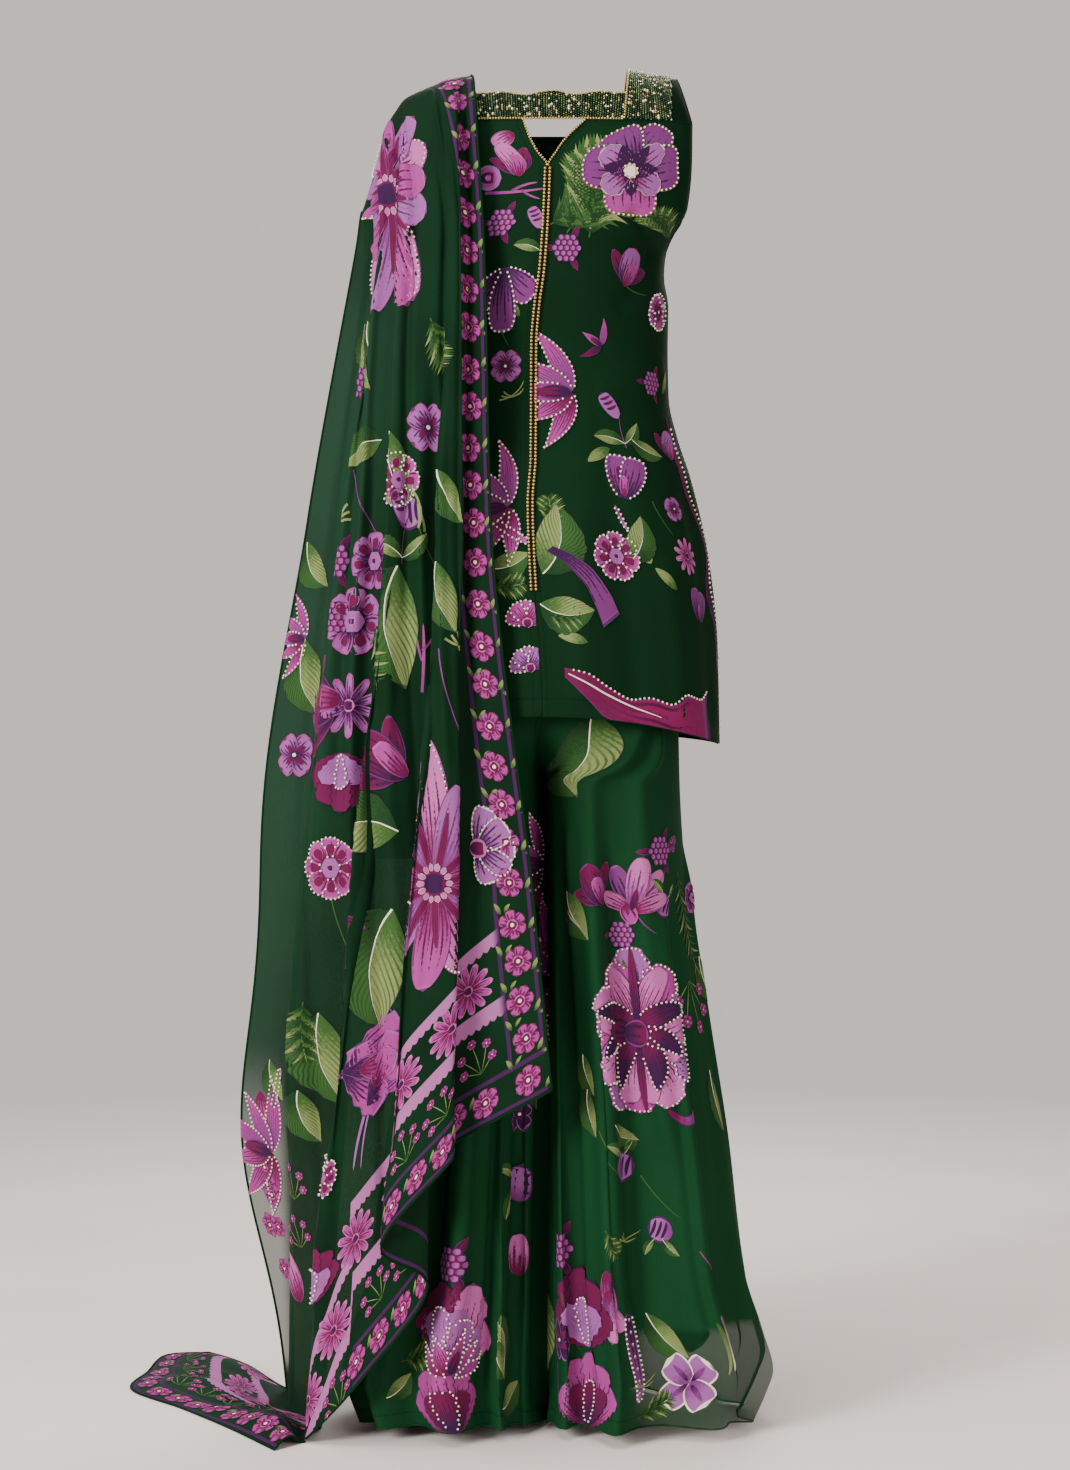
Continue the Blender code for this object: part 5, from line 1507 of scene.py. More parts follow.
class Finish:
    """The nodes of one material."""

    def __init__(self, name, roughness, **constants):
        self.material = bpy.data.materials.new(name)
        self.material.use_nodes = True
        self.tree = self.material.node_tree
        self.shader = next(node for node in self.tree.nodes if node.type == "BSDF_PRINCIPLED")
        self.shader.inputs["Roughness"].default_value = roughness
        for key, value in constants.items():
            self.shader.inputs[key.replace("_", " ").title().replace("Ior", "IOR")].default_value = value

    def node(self, kind, settings=None, inputs=None):
        node = self.tree.nodes.new(kind)
        for key, value in (settings or {}).items():
            setattr(node, key, value)
        for key, value in (inputs or {}).items():
            self.join(value, node.inputs[key])
        return node

    def join(self, value, socket):
        if isinstance(value, Figure):
            value = value.socket
        if isinstance(value, bpy.types.NodeSocket):
            self.tree.links.new(value, socket)
        else:
            socket.default_value = value

    def feed(self, name, value):
        self.join(value, self.shader.inputs[name])

    def where(self):
        return self.node("ShaderNodeTexCoord").outputs["Object"]

    def map(self, name):
        """The two figures of a UV map."""
        return self.parts(self.node("ShaderNodeUVMap", {"uv_map": name}).outputs["UV"])[:2]

    def field(self, name):
        return self.node("ShaderNodeAttribute", {"attribute_name": name}).outputs["Color"]

    def length(self, vector):
        node = self.node("ShaderNodeVectorMath", {"operation": "LENGTH"}, {0: vector})
        return Figure(self, node.outputs["Value"])

    def parts(self, vector):
        node = self.node("ShaderNodeSeparateXYZ", {}, {0: vector})
        return tuple(Figure(self, socket) for socket in node.outputs[:3])

    def noise(self, scale, detail=2.0, roughness=0.5):
        inputs = {"Vector": self.where(), "Scale": scale, "Detail": detail, "Roughness": roughness}
        return Figure(self, self.node("ShaderNodeTexNoise", {}, inputs).outputs[0])

    def blend(self, first, second, share):
        first = first + (1.0,) if isinstance(first, tuple) else first
        second = second + (1.0,) if isinstance(second, tuple) else second
        node = self.node("ShaderNodeMix", {"data_type": "RGBA"}, {0: share, 6: first, 7: second})
        return node.outputs[2]

    def bump(self, height, distance, strength):
        inputs = {"Height": height, "Distance": distance, "Strength": strength}
        self.feed("Normal", self.node("ShaderNodeBump", {}, inputs).outputs["Normal"])

    def crepe(self, settings):
        """The fine grain of the crepe."""
        return self.noise(settings.crepe_scale, 3.0, CREPE_ROUGHNESS)


def dark(colour, share):
    return tuple(part * share for part in colour)


def light(colour, share):
    return tuple(part + (1.0 - part) * share for part in colour)


def georgette(name, colour, settings, seam_lines=()):
    """Crepe cloth of a deep colour, with fine stitched lines at distances from its edge."""
    finish = Finish(name, 0.62, sheen_weight=0.03, sheen_roughness=0.40, specular_ior_level=0.10)
    finish.shader.inputs["Sheen Tint"].default_value = tuple(min(8.0 * part, 1.0) for part in colour) + (1.0,)
    crepe = finish.crepe(settings)
    drift = finish.noise(5.0, 3.0)
    base = finish.blend(dark(colour, 0.86), dark(colour, 1.16), drift.soft_step(0.25, 0.75))
    base = finish.blend(base, dark(colour, 0.55), crepe.soft_step(0.45, 0.80) * 0.5)
    height = crepe
    inner, end = finish.map("cut")
    for axis, distance, tone in seam_lines:
        figure = end if axis == "end" else inner
        other = inner if axis == "end" else end
        dashes = (other * (2.0 * math.pi / STITCH)).sin().soft_step(-0.5, 0.1)
        line = figure.stripe(distance, 0.0006) * dashes
        base = finish.blend(base, tone, line * 0.8)
        height = height - figure.stripe(distance, 0.0014) * 1.6
    finish.feed("Base Color", base)
    finish.feed("Roughness", 0.70 + crepe * 0.20)
    finish.bump(height, 0.00035, 0.55)
    return finish


def printed_finish(settings):
    """The print: petals shaded from base to tip, hatched with dark strokes and outlined, with a pale rim."""
    finish = Finish("print_on_georgette", 0.60, sheen_weight=0.05, sheen_roughness=0.40, specular_ior_level=0.16)
    along, width = finish.map("petal")
    side = abs(width * 2.0 - 1.0)
    rim_width, hatch, veins = finish.parts(finish.field("style"))
    grain = finish.noise(300.0, 2.0)
    rough = grain - 0.5
    inner, outer = finish.field("inner"), finish.field("outer")
    base = finish.blend(inner, outer, (along + rough * 0.45).soft_step(0.10, 0.62))
    turns = hatch * (HATCH_MOST * 2.0 * math.pi)
    strokes = (width * turns + rough * 1.6).sin().soft_step(0.05, 0.45)
    reach = 0.62 + (width * turns * 0.5).sin() * 0.14
    fade = 1.0 - (along + rough * 0.5 - reach).soft_step(-0.10, 0.08)
    plain = 1.0 - veins.soft_step(0.4, 0.6)
    base = finish.blend(base, inner, strokes * fade * plain * hatch.soft_step(0.01, 0.05) * 0.92)
    skew = side + (width - side) * veins.soft_step(1.2, 1.6)
    bold = strokes * along.soft_step(0.30, 0.60) * fade * plain * hatch.soft_step(0.10, 0.16)
    base = finish.blend(base, OUTLINE, bold * 0.55)
    slant = ((along - skew * 0.45) * turns + rough).sin().soft_step(0.15, 0.60)
    base = finish.blend(base, inner, slant * veins.least(1.0) * (skew + 0.35).least(1.0) * 0.85)
    rim = (side + rim_width).soft_step(0.985, 1.02).most((along + rim_width * 0.7).soft_step(0.985, 1.02))
    base = finish.blend(base, finish.field("rim"), rim * rim_width.soft_step(0.005, 0.03) * 0.9)
    outline = side.soft_step(0.925, 0.955).most(along.soft_step(0.955, 0.975))
    base = finish.blend(base, OUTLINE, outline * rim_width.soft_step(0.005, 0.03) * hatch.soft_step(0.10, 0.20) * 0.75)
    crepe = finish.crepe(settings)
    base = finish.blend(base, DEEP_GREEN, crepe.soft_step(0.48, 0.85) * 0.30)
    finish.feed("Base Color", base)
    finish.feed("Roughness", 0.68 + crepe * 0.20)
    finish.bump(crepe, 0.0003, 0.5)
    return finish


def bead_finish(name, metallic, roughness, coat):
    finish = Finish(name, roughness, metallic=metallic, coat_weight=coat, coat_roughness=0.08)
    base = finish.blend(finish.field("tone"), (0.9, 0.85, 0.75), finish.noise(900.0, 1.0).soft_step(0.55, 0.85) * 0.25)
    finish.feed("Base Color", base)
    return finish


FRONT = (0.0, -1.0, 0.0)
BACK = (0.0, 1.0, 0.0)
UP = (0.0, 0.0, 1.0)


def build_cloths():
    """All the sheets of the suit, pressed into shape."""
    return {
        "kurta_front_right": Cloth(kurta_front(-1), 52, 160, FRONT, KURTA_RIGHT_CREASES),
        "kurta_front_left": Cloth(kurta_front(1), 52, 160, FRONT, KURTA_LEFT_CREASES),
        "kurta_back": Cloth(kurta_back, 100, 160, BACK, KURTA_BACK_CREASES),
        "placket_band": Cloth(placket, 4, 110, FRONT, even=False),
        "shoulder_left": Cloth(strap(LEFT_STRAP), 16, 64, UP, even=False),
        "shoulder_right": Cloth(strap(RIGHT_STRAP), 16, 64, UP, even=False),
        "neck_band": Cloth(neck_band, 44, 8, FRONT, even=False),
        "waistband_front": Cloth(waistband(-1), 60, 8, FRONT, even=False),
        "waistband_back": Cloth(waistband(1), 60, 8, BACK, even=False),
        "sharara_left_front": Cloth(leg(1, -1, LEFT_FRONT_FOLDS), 124, 200, FRONT, LEG_LEFT_FRONT_CREASES),
        "sharara_left_back": Cloth(leg(1, 1, LEFT_BACK_FOLDS), 110, 170, BACK, LEG_BACK_CREASES),
        "sharara_right_front": Cloth(leg(-1, -1, RIGHT_FRONT_FOLDS), 124, 200, FRONT, LEG_RIGHT_FRONT_CREASES),
        "sharara_right_back": Cloth(leg(-1, 1, RIGHT_BACK_FOLDS), 110, 170, BACK, LEG_BACK_CREASES),
        "dupatta_front_fall": Cloth(scarf_front, 130, 280, FRONT, SCARF_CREASES),
        "dupatta_back_fall": Cloth(scarf_back, 80, 150, BACK, SCARF_BACK_CREASES),
        "dupatta_floor": Cloth(scarf_floor, 90, 64, UP, FLOOR_CREASES),
    }


CLOTHS = {}
RISING = ("kurta_front_right", "kurta_front_left", "kurta_back", "placket_band", "neck_band", "waistband_front",
          "waistband_back")


def cloth_of(name):
    if not CLOTHS:
        CLOTHS.update(build_cloths())
        for key, cloth in CLOTHS.items():
            cloth.rising = 1.0 if key in RISING else -1.0
    return CLOTHS[name]


def laid_out(cloth, spots, front=-1.0):
    """Motifs of a table, each with its place on the cloth."""
    rows = []
    for spot in spots:
        across, along = cloth.find(spot.x, spot.height, front)
        rows.append((cloth, across, along, motif(spot.motif, spot.size, spot.turn)))
    return rows


# Width and length that each piece is cut from, in metres, and its flat area where it isn't a rectangle
Cut = namedtuple("Cut", "piece width length area")
CUTS = table(
    Cut,
    ("kurta_front_right", 0.247, 0.698, 0.1268), ("kurta_front_left", 0.269, 0.698, 0.1435),
    ("kurta_back", 0.498, 0.697, 0.2672), ("shoulder_right", 0.093, 0.212, 0.0121),
    ("shoulder_left", 0.093, 0.227, 0.0135), ("neck_band", 0.169, 0.039, 0.005),
    ("placket_band", 0.01, 0.449, 0.0041), ("sharara_left_front", 0.498, 1.132, 0.3686),
    ("sharara_right_front", 0.48, 1.132, 0.344), ("sharara_left_back", 0.487, 1.127, 0.345),
    ("sharara_right_back", 0.456, 1.127, 0.3223), ("waistband_front", 0.368, 0.04, 0.0144),
    ("waistband_back", 0.343, 0.04, 0.0134), ("left_lining", 0.43, 0.585, None),
    ("dupatta_front_fall", 0.856, 1.431, 0.5989), ("dupatta_back_fall", 0.306, 0.919, 0.1934),
    ("dupatta_floor", 0.564, 0.26, 0.0539),
)


def sheet(name):
    cut = next(row for row in CUTS if row.piece == name)


FINISHES = {}


def finish_of(name):
    """Makes each material once."""
    if not FINISHES:
        settings = bpy.context.scene.suit
        green = tuple(settings.ground_colour)
        seams = tuple((edge, distance, dark(green, 0.4)) for edge, distance in KURTA_SEAMS)
        FINISHES["kurta"] = georgette("green_georgette", green, settings, seams)
        FINISHES["legs"] = leg_finish(green, settings)
        FINISHES["scarf"] = scarf_finish(settings)
        FINISHES["lining"] = georgette("green_lining", light(green, 0.01), settings)
        FINISHES["band"] = georgette("beaded_ground", dark(green, 0.7), settings)
        FINISHES["print"] = printed_finish(settings)
        FINISHES["pearl"] = bead_finish("pearl_beads", 0.05, 0.22, 0.5)
        FINISHES["gold"] = bead_finish("gold_beads", 0.75, 0.28, 0.2)
    return FINISHES[name]


def leg_finish(green, settings):
    """The leg cloth, which turns sheer below its lining."""
    # Painted light: the legs take the lightened leg green, standing in for the light on them
    finish = georgette("green_trouser_georgette", PAINTED_LIGHT_LEG_GREEN, settings, (("end", LEG_SEAM, dark(green, 0.4)),))
    x, y, z = finish.parts(finish.where())
    low = 1.0 - (z + SHOULDER_HEIGHT).soft_step(0.112, 0.124)
    left = x.soft_step(0.080, 0.108) * (1.0 - y.soft_step(0.0, 0.03) * 0.5)
    finish.feed("Alpha", 1.0 - low * left * settings.sheer_hem)
    return finish


# The scarf's woven bands, in metres: lines from the inner edge, lines and pink bands from the end
WovenLine = namedtuple("WovenLine", "place half_width")
SIDE_LINES = table(WovenLine, (0.0050, 0.0019), (0.0425, 0.0021))
END_LINES = table(WovenLine, (0.0050, 0.0019), (0.0440, 0.0024))
PinkBand = namedtuple("PinkBand", "starts ends")
PINK_BANDS = table(PinkBand, (0.1090, 0.1260), (0.1865, 0.1995))
SCALLOP_WIDTH = 0.0085
SCALLOP_DEPTH = 0.0036


def scarf_finish(settings):
    """Sheer chiffon with its woven-in bands: purple lines at the border and two scalloped pink bands."""
    green = tuple(settings.scarf_colour)
    finish = Finish("sheer_green_chiffon", 0.55, sheen_weight=0.02, sheen_roughness=0.4, specular_ior_level=0.09)
    inner, end = finish.map("cut")
    crepe = finish.crepe(settings)
    drift = finish.noise(9.0, 2.0)
    base = finish.blend(dark(green, 0.90), dark(green, 1.35), drift.soft_step(0.3, 0.7))
    base = finish.blend(base, dark(green, 0.6), crepe.soft_step(0.45, 0.8) * 0.5)
    x, y, z = finish.parts(finish.where())
    # Painted light: lower down, the outer side of the fall is lightened towards a pale green haze
    outer = (1.0 - (x - z * 0.18 + 0.15).soft_step(0.005, 0.085)) * (1.0 - z.soft_step(-0.30, -0.15))
    base = finish.blend(base, PAINTED_HAZE_GREEN, outer * 0.5)
    side = inner.soft_step(0.040, 0.050)
    side_lines = inner.stripe(*SIDE_LINES[0]).most(inner.stripe(*SIDE_LINES[1])) * end.soft_step(0.040, 0.043)
    end_lines = end.stripe(*END_LINES[0]).most(end.stripe(*END_LINES[1])) * inner.soft_step(0.003, 0.005)
    lines = side_lines.most(end_lines)
    scallop = abs((inner * (math.pi / SCALLOP_WIDTH)).sin()) * SCALLOP_DEPTH
    wide, narrow = (
        (end + scallop).soft_step(row.starts - 0.0005, row.starts + 0.0005)
        * (1.0 - end.soft_step(row.ends - 0.0005, row.ends + 0.0005))
        for row in PINK_BANDS
    )
    bands = wide.most(narrow) * side
    base = finish.blend(base, BORDER_PURPLE, lines * 0.92)
    base = finish.blend(base, BAND_PINK, bands * 0.95)
    finish.feed("Base Color", base)
    weave = finish.noise(1600.0, 1.0)
    single = (1.0 - z.soft_step(-1.16, -1.02)) * z.soft_step(-1.43, -1.40) * (1.0 - x.soft_step(-0.298, -0.276))
    sheer = settings.scarf_cover + (weave - 0.5) * 0.10 + crepe.soft_step(0.4, 0.7) * 0.03 - single * 0.27
    finish.feed("Alpha", sheer.most(lines.most(bands) * 0.93).least(1.0))
    finish.feed("Roughness", 0.66 + crepe * 0.20)
    finish.bump(crepe, 0.0003, 0.5)
    return finish


# Hems, beads and borders, in metres
Hem = namedtuple("Hem", "finish radius sides")
KURTA_HEM = Hem("kurta", 0.0008, ("inner", "outer", "start", "end"))
YOKE_HEM = Hem("band", 0.0008, ("inner", "outer"))
LEG_HEM = Hem("legs", 0.0011, ("end", "start", "inner"))
SCARF_HEM = Hem("kurta", 0.0014, ("inner", "outer", "end"))
SLIT_PEARL_STEP = 0.0066
BAND_BEAD_STEP = 0.0026
BAND_BEAD_LIFT = 0.00066
YOKE_BEADS_END = 0.128
PLACKET_BEAD = 0.0019
PLACKET_BEAD_STEP = 0.0038
PLACKET_BEAD_PLACES = (0.22, 0.78)
EDGE_BEAD = 0.0015
EDGE_BEAD_STEP = 0.0030
BACK_FALL_HIDDEN = 0.30
BORDER_MIDDLE = 0.0238
Band = namedtuple("Band", "motif start reach gap size")
BORDER_BANDS = table(
    Band,
    ("border", 0.072, 0.0238, 0.038, 0.033), ("sprigs", 0.080, 0.078, 0.050, 0.046),
    ("fan_daisy", 0.080, 0.156, 0.070, 0.056),
)


def cloth_piece(name, finish, places=None):
    cloth = cloth_of(name)
    inner, end = places or cut_places(cloth, cloth.rising > 0)
    piece = show(name + "_cloth", cloth_mesh(name + "_cloth", cloth, inner, end), finish_of(finish))
    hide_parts(name)
    sheet(name)


def dressed(name, finish, laid, hem, places=None, pearls=()):
    """A cloth with its hems, its print and its pearls."""
    settings, cloth = bpy.context.scene.suit, cloth_of(name)
    radius = settings.pearl_size / 2.0
    extra = [
        hems(name, cloth, hem),
        printed(name + "_print", laid, finish_of("print")),
    ]
    spots = np.concatenate((pearl_spots(laid, settings.pearl_spacing, radius), *pearls))
    if len(spots):
        extra.append(beads(name + "_pearls", spots, radius, CREAM, finish_of("pearl"), "beaded_yoke"))
    cloth_piece(name, finish, places)


def band_beads(cloth):
    """Close rows of beads over a cloth, with their tones in loose stripes."""
    random = np.random.default_rng(5)
    rows = max(int(cloth.widths.mean() / BAND_BEAD_STEP), 2)
    spots, tones = [], []
    for row in range(rows):
        across = (row + 0.5) / rows
        length = float(np.interp(across, np.linspace(0, 1, len(cloth.lengths)), cloth.lengths))
        count = int(length / BAND_BEAD_STEP)
        along, across = (np.arange(count) + 0.5 * (row % 2) + 0.25) / count, np.full(count, across)
        spots.append(cloth.at(across, along) + BAND_BEAD_LIFT * cloth.at(across, along, cloth.normal))
        pick = random.random(count)
        wave = np.sin(along * length / 0.011 + row * 0.9)
        tone = np.where((pick < 0.10)[:, None], GOLD, np.where((pick < 0.19)[:, None], CREAM, (0.018, 0.050, 0.016)))
        tones.append(np.where(((wave > 0.35) & (pick < 0.8))[:, None], (0.11, 0.15, 0.055), tone))
    spots, tones = np.concatenate(spots), np.concatenate(tones)
    large = random.random(len(spots)) < 0.025
    tones[large] = CREAM
    return spots, tones, np.where(large, 0.0019, 0.00125)


def row_beads(line, outward, spacing, radius):
    """A line of beads along an edge."""
    reach = reach_of(line)
    wanted = np.arange(spacing / 2.0, reach[-1], spacing)
    return spaced(line, reach, wanted) + spaced(outward, reach, wanted) * radius * 0.7


# Add-on


class SuitSettings(bpy.types.PropertyGroup):
    ground_colour: bpy.props.FloatVectorProperty(
        name="Georgette", description="Ground colour of the kurta and the sharara", subtype="COLOR", size=3,
        default=DEEP_GREEN, min=0.0, max=1.0)
    scarf_colour: bpy.props.FloatVectorProperty(
        name="Chiffon", description="Ground colour of the dupatta", subtype="COLOR", size=3,
        default=(0.0009, 0.0165, 0.0046), min=0.0, max=1.0)
    scarf_cover: bpy.props.FloatProperty(
        name="Chiffon cover", description="How much one layer of the dupatta hides", subtype="FACTOR",
        default=0.985, min=0.0, max=1.0)
    sheer_hem: bpy.props.FloatProperty(
        name="Sheer hem", description="How much shows through the leg below its lining", subtype="FACTOR",
        default=0.42, min=0.0, max=1.0)
    crepe_scale: bpy.props.FloatProperty(
        name="Crepe grain", description="Grains of the crepe in a metre", default=900.0, min=100.0, max=4000.0)
    pearl_size: bpy.props.FloatProperty(
        name="Pearl", description="Width of a pearl round a petal", subtype="DISTANCE", unit="LENGTH",
        default=0.0027, min=0.001, max=0.006)
    pearl_spacing: bpy.props.FloatProperty(
        name="Pearl spacing", description="Distance from pearl to pearl", subtype="DISTANCE", unit="LENGTH",
        default=0.0052, min=0.002, max=0.02)
    chain_step: bpy.props.FloatProperty(
        name="Border step", description="Distance from flower to flower along the dupatta's border",
        subtype="DISTANCE", unit="LENGTH", default=0.042, min=0.02, max=0.2)


class SUIT_OT_kurta(bpy.types.Operator):
    """Makes the sleeveless kurta with its print"""

    bl_idname = "suit.kurta"
    bl_label = "Kurta"

    def execute(self, context):
        for name, spots, front in (
                ("kurta_front_right", KURTA_RIGHT_PRINT, -1.0), ("kurta_front_left", KURTA_LEFT_PRINT, -1.0),
                ("kurta_back", KURTA_BACK_PRINT, 1.0)):
            line, outward = edge_of(cloth_of(name), "outer", 1)
            slit = line[:, 2] < SLIT_TOP - SHOULDER_HEIGHT
            pearls = row_beads(line[slit], outward[slit], SLIT_PEARL_STEP, context.scene.suit.pearl_size / 2.0)
            dressed(name, "kurta", laid_out(cloth_of(name), spots, front),
                    KURTA_HEM, pearls=[pearls])
        return {"FINISHED"}


class SUIT_OT_yoke(bpy.types.Operator):
    """Makes the beaded neck band, the shoulder straps and the placket"""

    bl_idname = "suit.yoke"
    bl_label = "Yoke and placket"

    def execute(self, context):
        for name in ("shoulder_right", "shoulder_left", "neck_band"):
            cloth, slot = cloth_of(name), "green_georgette" if name == "shoulder_right" else "beaded_yoke"
            extra = [hems(name, cloth, YOKE_HEM)]
            if slot == "beaded_yoke":
                spots, tones, radii = band_beads(cloth)
                keep = np.abs(spots[:, 0]) < YOKE_BEADS_END
                extra.append(beads(name + "_beads", spots[keep], radii[keep], tones[keep], finish_of("gold"), slot))
            cloth_piece(name, "band")
        cloth, share = cloth_of("placket_band"), np.linspace(0.0, 1.0, 200)
        rows = []
        for place in PLACKET_BEAD_PLACES:
            across = np.full(200, place)
            line, outward = cloth.at(across, share), cloth.at(across, share, cloth.normal)
            rows.append(row_beads(line, outward, PLACKET_BEAD_STEP, PLACKET_BEAD))
        gold = beads("placket_beads", np.concatenate(rows), PLACKET_BEAD, GOLD, finish_of("gold"), "gold_beading")
        cloth_piece("placket_band", "band")
        lines = []
        for name in ("kurta_front_right", "kurta_front_left"):
            line, outward = edge_of(cloth_of(name), "inner", 1)
            keep = line[:, 2] > PLACKET_TOP - SHOULDER_HEIGHT
            lines.append(row_beads(line[keep], outward[keep], EDGE_BEAD_STEP, 0.0016))
        for name, edge in (("neck_band", "end"), ("neck_band", "start"), ("shoulder_left", "inner")):
            lines.append(row_beads(*edge_of(cloth_of(name), edge, 1), EDGE_BEAD_STEP, 0.0014))
        beads("keyhole_beads", np.concatenate(lines), EDGE_BEAD, GOLD, finish_of("gold"), "gold_beading")
        return {"FINISHED"}


class SUIT_OT_sharara(bpy.types.Operator):
    """Makes the wide sharara legs, their waistband and the lining"""

    bl_idname = "suit.sharara"
    bl_label = "Sharara"

    def execute(self, context):
        for name, spots, front in (
                ("sharara_left_front", LEG_LEFT_PRINT, -1.0), ("sharara_right_front", LEG_RIGHT_PRINT, -1.0),
                ("sharara_left_back", LEG_LEFT_BACK_PRINT, 1.0), ("sharara_right_back", LEG_RIGHT_BACK_PRINT, 1.0)):
            laid = laid_out(cloth_of(name), spots, front)
            dressed(name, "legs", laid, LEG_HEM)
        for name in ("waistband_front", "waistband_back"):
            cloth_piece(name, "legs")
        make_lining()
        return {"FINISHED"}


def make_lining():
    """The lining's tube, closed round the leg."""
    bm = unit_grid(96, 60)
    places = np.array([vert.co for vert in bm.verts])
    for vert, spot in zip(bm.verts, lining(places[:, 0], places[:, 1])):
        vert.co = spot
    bmesh.ops.remove_doubles(bm, verts=bm.verts, dist=0.0001)
    bmesh.ops.recalc_face_normals(bm, faces=bm.faces)
    mesh = made("left_lining_cloth", bm)
    spots = places_of(mesh)
    set_uv(mesh, "cut", np.stack((np.arctan2(spots[:, 1], spots[:, 0] - LINING_CENTRE) * 0.06,
                                  spots[:, 2] + SHOULDER_HEIGHT - LINING_ROWS[0].height), axis=-1))
    piece = show("left_lining_cloth", mesh, finish_of("lining"))
    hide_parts("left_lining")
    sheet("left_lining")


class SUIT_OT_dupatta(bpy.types.Operator):
    """Makes the sheer dupatta over the shoulder and along the floor"""

    bl_idname = "suit.dupatta"
    bl_label = "Dupatta"

    def execute(self, context):
        front, back, floor = (cloth_of(name) for name in ("dupatta_front_fall", "dupatta_back_fall", "dupatta_floor"))
        inner, end = cut_places(front, False)
        share = np.linspace(0.0, 1.0, front.grid.shape[0])
        floor_share = np.clip((share - FLOOR_STARTS) / (1.0 - FLOOR_STARTS), 0.0, 1.0)
        more = np.interp(floor_share, np.linspace(0, 1, len(floor.lengths)), floor.lengths) * ease(floor_share / 0.02)
        back_inner, back_end = cut_places(back, False)
        floor_inner, floor_end = cut_places(floor, False)
        start = float(np.interp(FLOOR_STARTS, share, inner[:, -1]))
        places = {
            "dupatta_front_fall": (inner, end + more[:, None]),
            "dupatta_back_fall": (back_inner, back_end + BACK_FALL_HIDDEN),
            "dupatta_floor": (floor_inner + start, floor_end),
        }
        borders = border_rows(places, context.scene.suit.chain_step)
        for name, spots, side, held, rests_on in (
                ("dupatta_front_fall", SCARF_PRINT, -1.0, "draped", ["shoulder_right", "kurta_front_right"]),
                ("dupatta_back_fall", SCARF_BACK_PRINT, 1.0, "draped", ["shoulder_right", "kurta_back"]),
                ("dupatta_floor", (), -1.0, "laid", ["dupatta_front_fall"])):
            laid = laid_out(cloth_of(name), spots, side) + borders[name]
            dressed(name, "scarf", laid, SCARF_HEM, places[name])
        return {"FINISHED"}


def border_rows(places, step):
    """The border's flowers, leaves, sprigs and daisies, each at its distances from the inner edge and the end."""
    rows = {name: [] for name in places}

    def lay(name, from_inner, from_end, shape, size, turn):
        inner, end = places[name]
        gap = np.hypot(inner - from_inner, end - from_end)
        i, j = np.unravel_index(np.argmin(gap), gap.shape)
        if gap[i, j] < 0.005:
            across, along = i / (gap.shape[0] - 1), j / (gap.shape[1] - 1)
            rows[name].append((cloth_of(name), across, along, motif(shape, size, turn)))

    for name in ("dupatta_front_fall", "dupatta_back_fall"):
        for index in range(60):
            reach = 0.024 + index * step
            lay(name, BORDER_MIDDLE, reach, "border", 0.033, 17 * index)
            for side in (-1, 1):
                from_inner, from_end = BORDER_MIDDLE + side * 0.0150, reach + side * step * 0.42
                lay(name, from_inner, from_end, "small_leaves", 0.014, 75 + 30 * side)
    for name in places:
        for band in BORDER_BANDS:
            for index in range(40):
                lay(name, band.start + index * band.gap, band.reach, band.motif, band.size, 15 + 12 * (index % 3))
                if band.motif == "border":
                    lay(name, band.start + (index + 0.5) * band.gap, band.reach, "small_leaves", 0.014, 60)
    return rows


# Stage: the lens in millimetres, its dip in degrees, and the lamps' widths in metres and powers in watts
SENSOR_HEIGHT = 36.0
LENS_LENGTH = 90.82
CAMERA_PLACE = (-0.0162, -4.0, -0.5)
CAMERA_DIP = 2.934
FLOOR_COLOURS = ((0.95, 0.86, 0.79), (0.80, 0.73, 0.67))
AIR_COLOUR = (1.0, 0.905, 0.860, 1.0)
AIR_STRENGTH = 0.36
BACKDROP_STRENGTH = 0.77
Lamp = namedtuple("Lamp", "name place aim width power")
LAMPS = table(
    Lamp,
    ("key_light", (-2.6, -3.0, 0.3), (0.0, 0.0, -0.75), 1.5, 200.0),
    ("fill_light", (2.4, -3.6, 0.0), (0.0, 0.0, -0.8), 2.4, 60.0),
    ("top_light", (-0.9, -1.0, 2.6), (-0.3, -0.3, -1.4), 2.6, 90.0),
    ("back_light", (0.8, 3.4, 1.2), (0.0, 0.0, -0.7), 2.4, 95.0),
)


class SUIT_OT_stage(bpy.types.Operator):
    """Makes the floor, the backdrop, the soft lights and the camera"""

    bl_idname = "suit.stage"
    bl_label = "Stage"

    def execute(self, context):
        bm = bmesh.new()
        bmesh.ops.create_grid(bm, x_segments=12, y_segments=12, size=7.0)
        bmesh.ops.translate(bm, vec=(0.0, 0.0, -SHOULDER_HEIGHT - 0.0004), verts=bm.verts)
        mesh = made("studio_floor", bm)
        finish = Finish("studio_paper", 0.85, specular_ior_level=0.15)
        reach = finish.length(finish.where())
        cloudy = finish.noise(2.2, 3.0)
        shade = cloudy.soft_step(0.45, 0.80) * 0.5
        finish.feed("Base Color", finish.blend(*FLOOR_COLOURS, shade))
        finish.feed("Alpha", 1.0 - reach.soft_step(1.75, 3.0))
        mesh.materials.append(finish.material)
        stage = bpy.data.objects.new("studio_floor", mesh)
        context.scene.collection.objects.link(stage)
        for row in LAMPS:
            lamp(row)
        context.scene.world = studio_air()
        lens = bpy.data.cameras.new("camera")
        lens.sensor_fit = "VERTICAL"
        lens.sensor_height = SENSOR_HEIGHT
        lens.lens = LENS_LENGTH
        camera = bpy.data.objects.new("camera", lens)
        camera.location = CAMERA_PLACE
        camera.rotation_euler = (math.radians(90.0 - CAMERA_DIP), 0.0, 0.0)
        context.scene.collection.objects.link(camera)
        context.scene.camera = camera
        return {"FINISHED"}


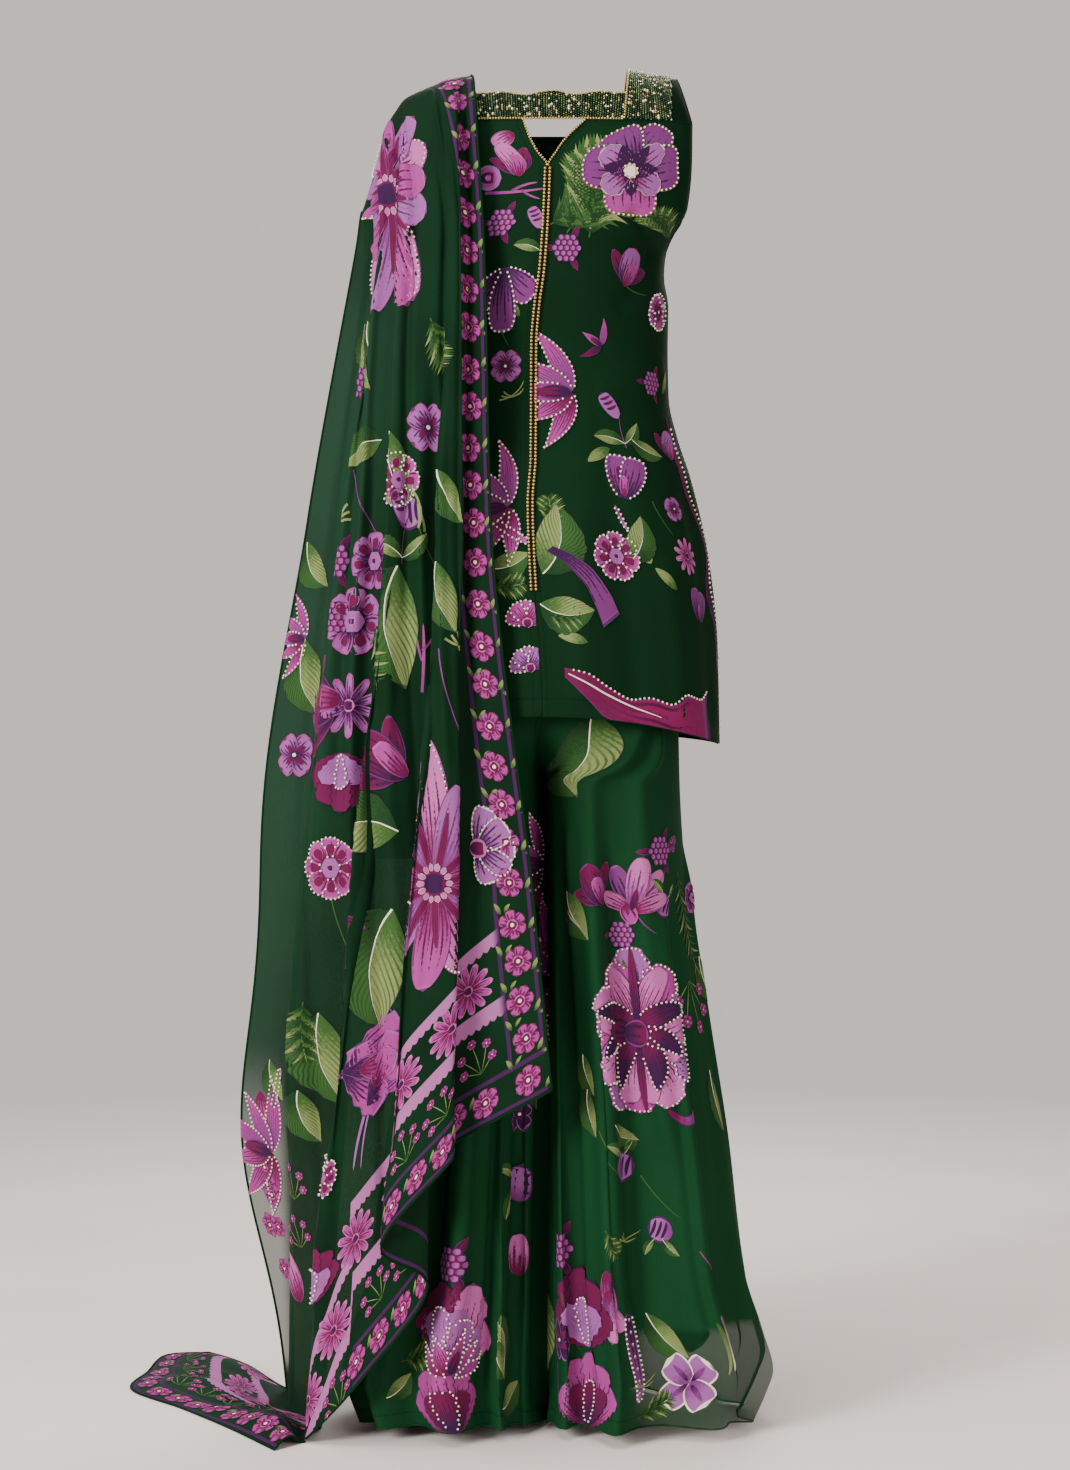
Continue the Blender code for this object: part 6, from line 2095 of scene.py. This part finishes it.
def studio_air():
    """The air of the studio: a soft light all round, and a plain backdrop behind the suit."""
    world = bpy.data.worlds.new("studio_air")
    world.use_nodes = True
    nodes, links = world.node_tree.nodes, world.node_tree.links
    background = next(node for node in nodes if node.type == "BACKGROUND")
    strength = nodes.new("ShaderNodeMapRange")
    strength.inputs[3].default_value = AIR_STRENGTH
    strength.inputs[4].default_value = BACKDROP_STRENGTH
    links.new(nodes.new("ShaderNodeLightPath").outputs["Is Camera Ray"], strength.inputs[0])
    links.new(strength.outputs[0], background.inputs[1])
    background.inputs[0].default_value = AIR_COLOUR
    return world


def lamp(row):
    light_data = bpy.data.lights.new(row.name, "AREA")
    light_data.shape = "DISK"
    light_data.size = row.width
    light_data.energy = row.power
    item = bpy.data.objects.new(row.name, light_data)
    item.location = row.place
    ahead = np.asarray(row.aim) - np.asarray(row.place)
    flat = math.hypot(ahead[0], ahead[1])
    item.rotation_euler = (math.atan2(flat, -ahead[2]), 0.0, math.atan2(ahead[1], ahead[0]) - math.pi / 2.0)
    bpy.context.scene.collection.objects.link(item)


class SUIT_PT_panel(bpy.types.Panel):
    bl_idname = "SUIT_PT_panel"
    bl_label = "Sharara suit"
    bl_space_type = "VIEW_3D"
    bl_region_type = "UI"
    bl_category = "Suit"

    def draw(self, context):
        settings = context.scene.suit
        for name in SuitSettings.__annotations__:
            self.layout.prop(settings, name)
        for operator in OPERATORS:
            self.layout.operator(operator.bl_idname)


OPERATORS = (SUIT_OT_kurta, SUIT_OT_yoke, SUIT_OT_sharara, SUIT_OT_dupatta, SUIT_OT_stage)
CLASSES = (SuitSettings,) + OPERATORS + (SUIT_PT_panel,)


def register():
    for item in CLASSES:
        bpy.utils.register_class(item)
    bpy.types.Scene.suit = bpy.props.PointerProperty(type=SuitSettings)


def unregister():
    del bpy.types.Scene.suit
    for item in reversed(CLASSES):
        bpy.utils.unregister_class(item)


def main():
    register()
    bpy.ops.suit.kurta()
    bpy.ops.suit.yoke()
    bpy.ops.suit.sharara()
    bpy.ops.suit.dupatta()
    bpy.ops.suit.stage()


if __name__ == "__main__":
    main()
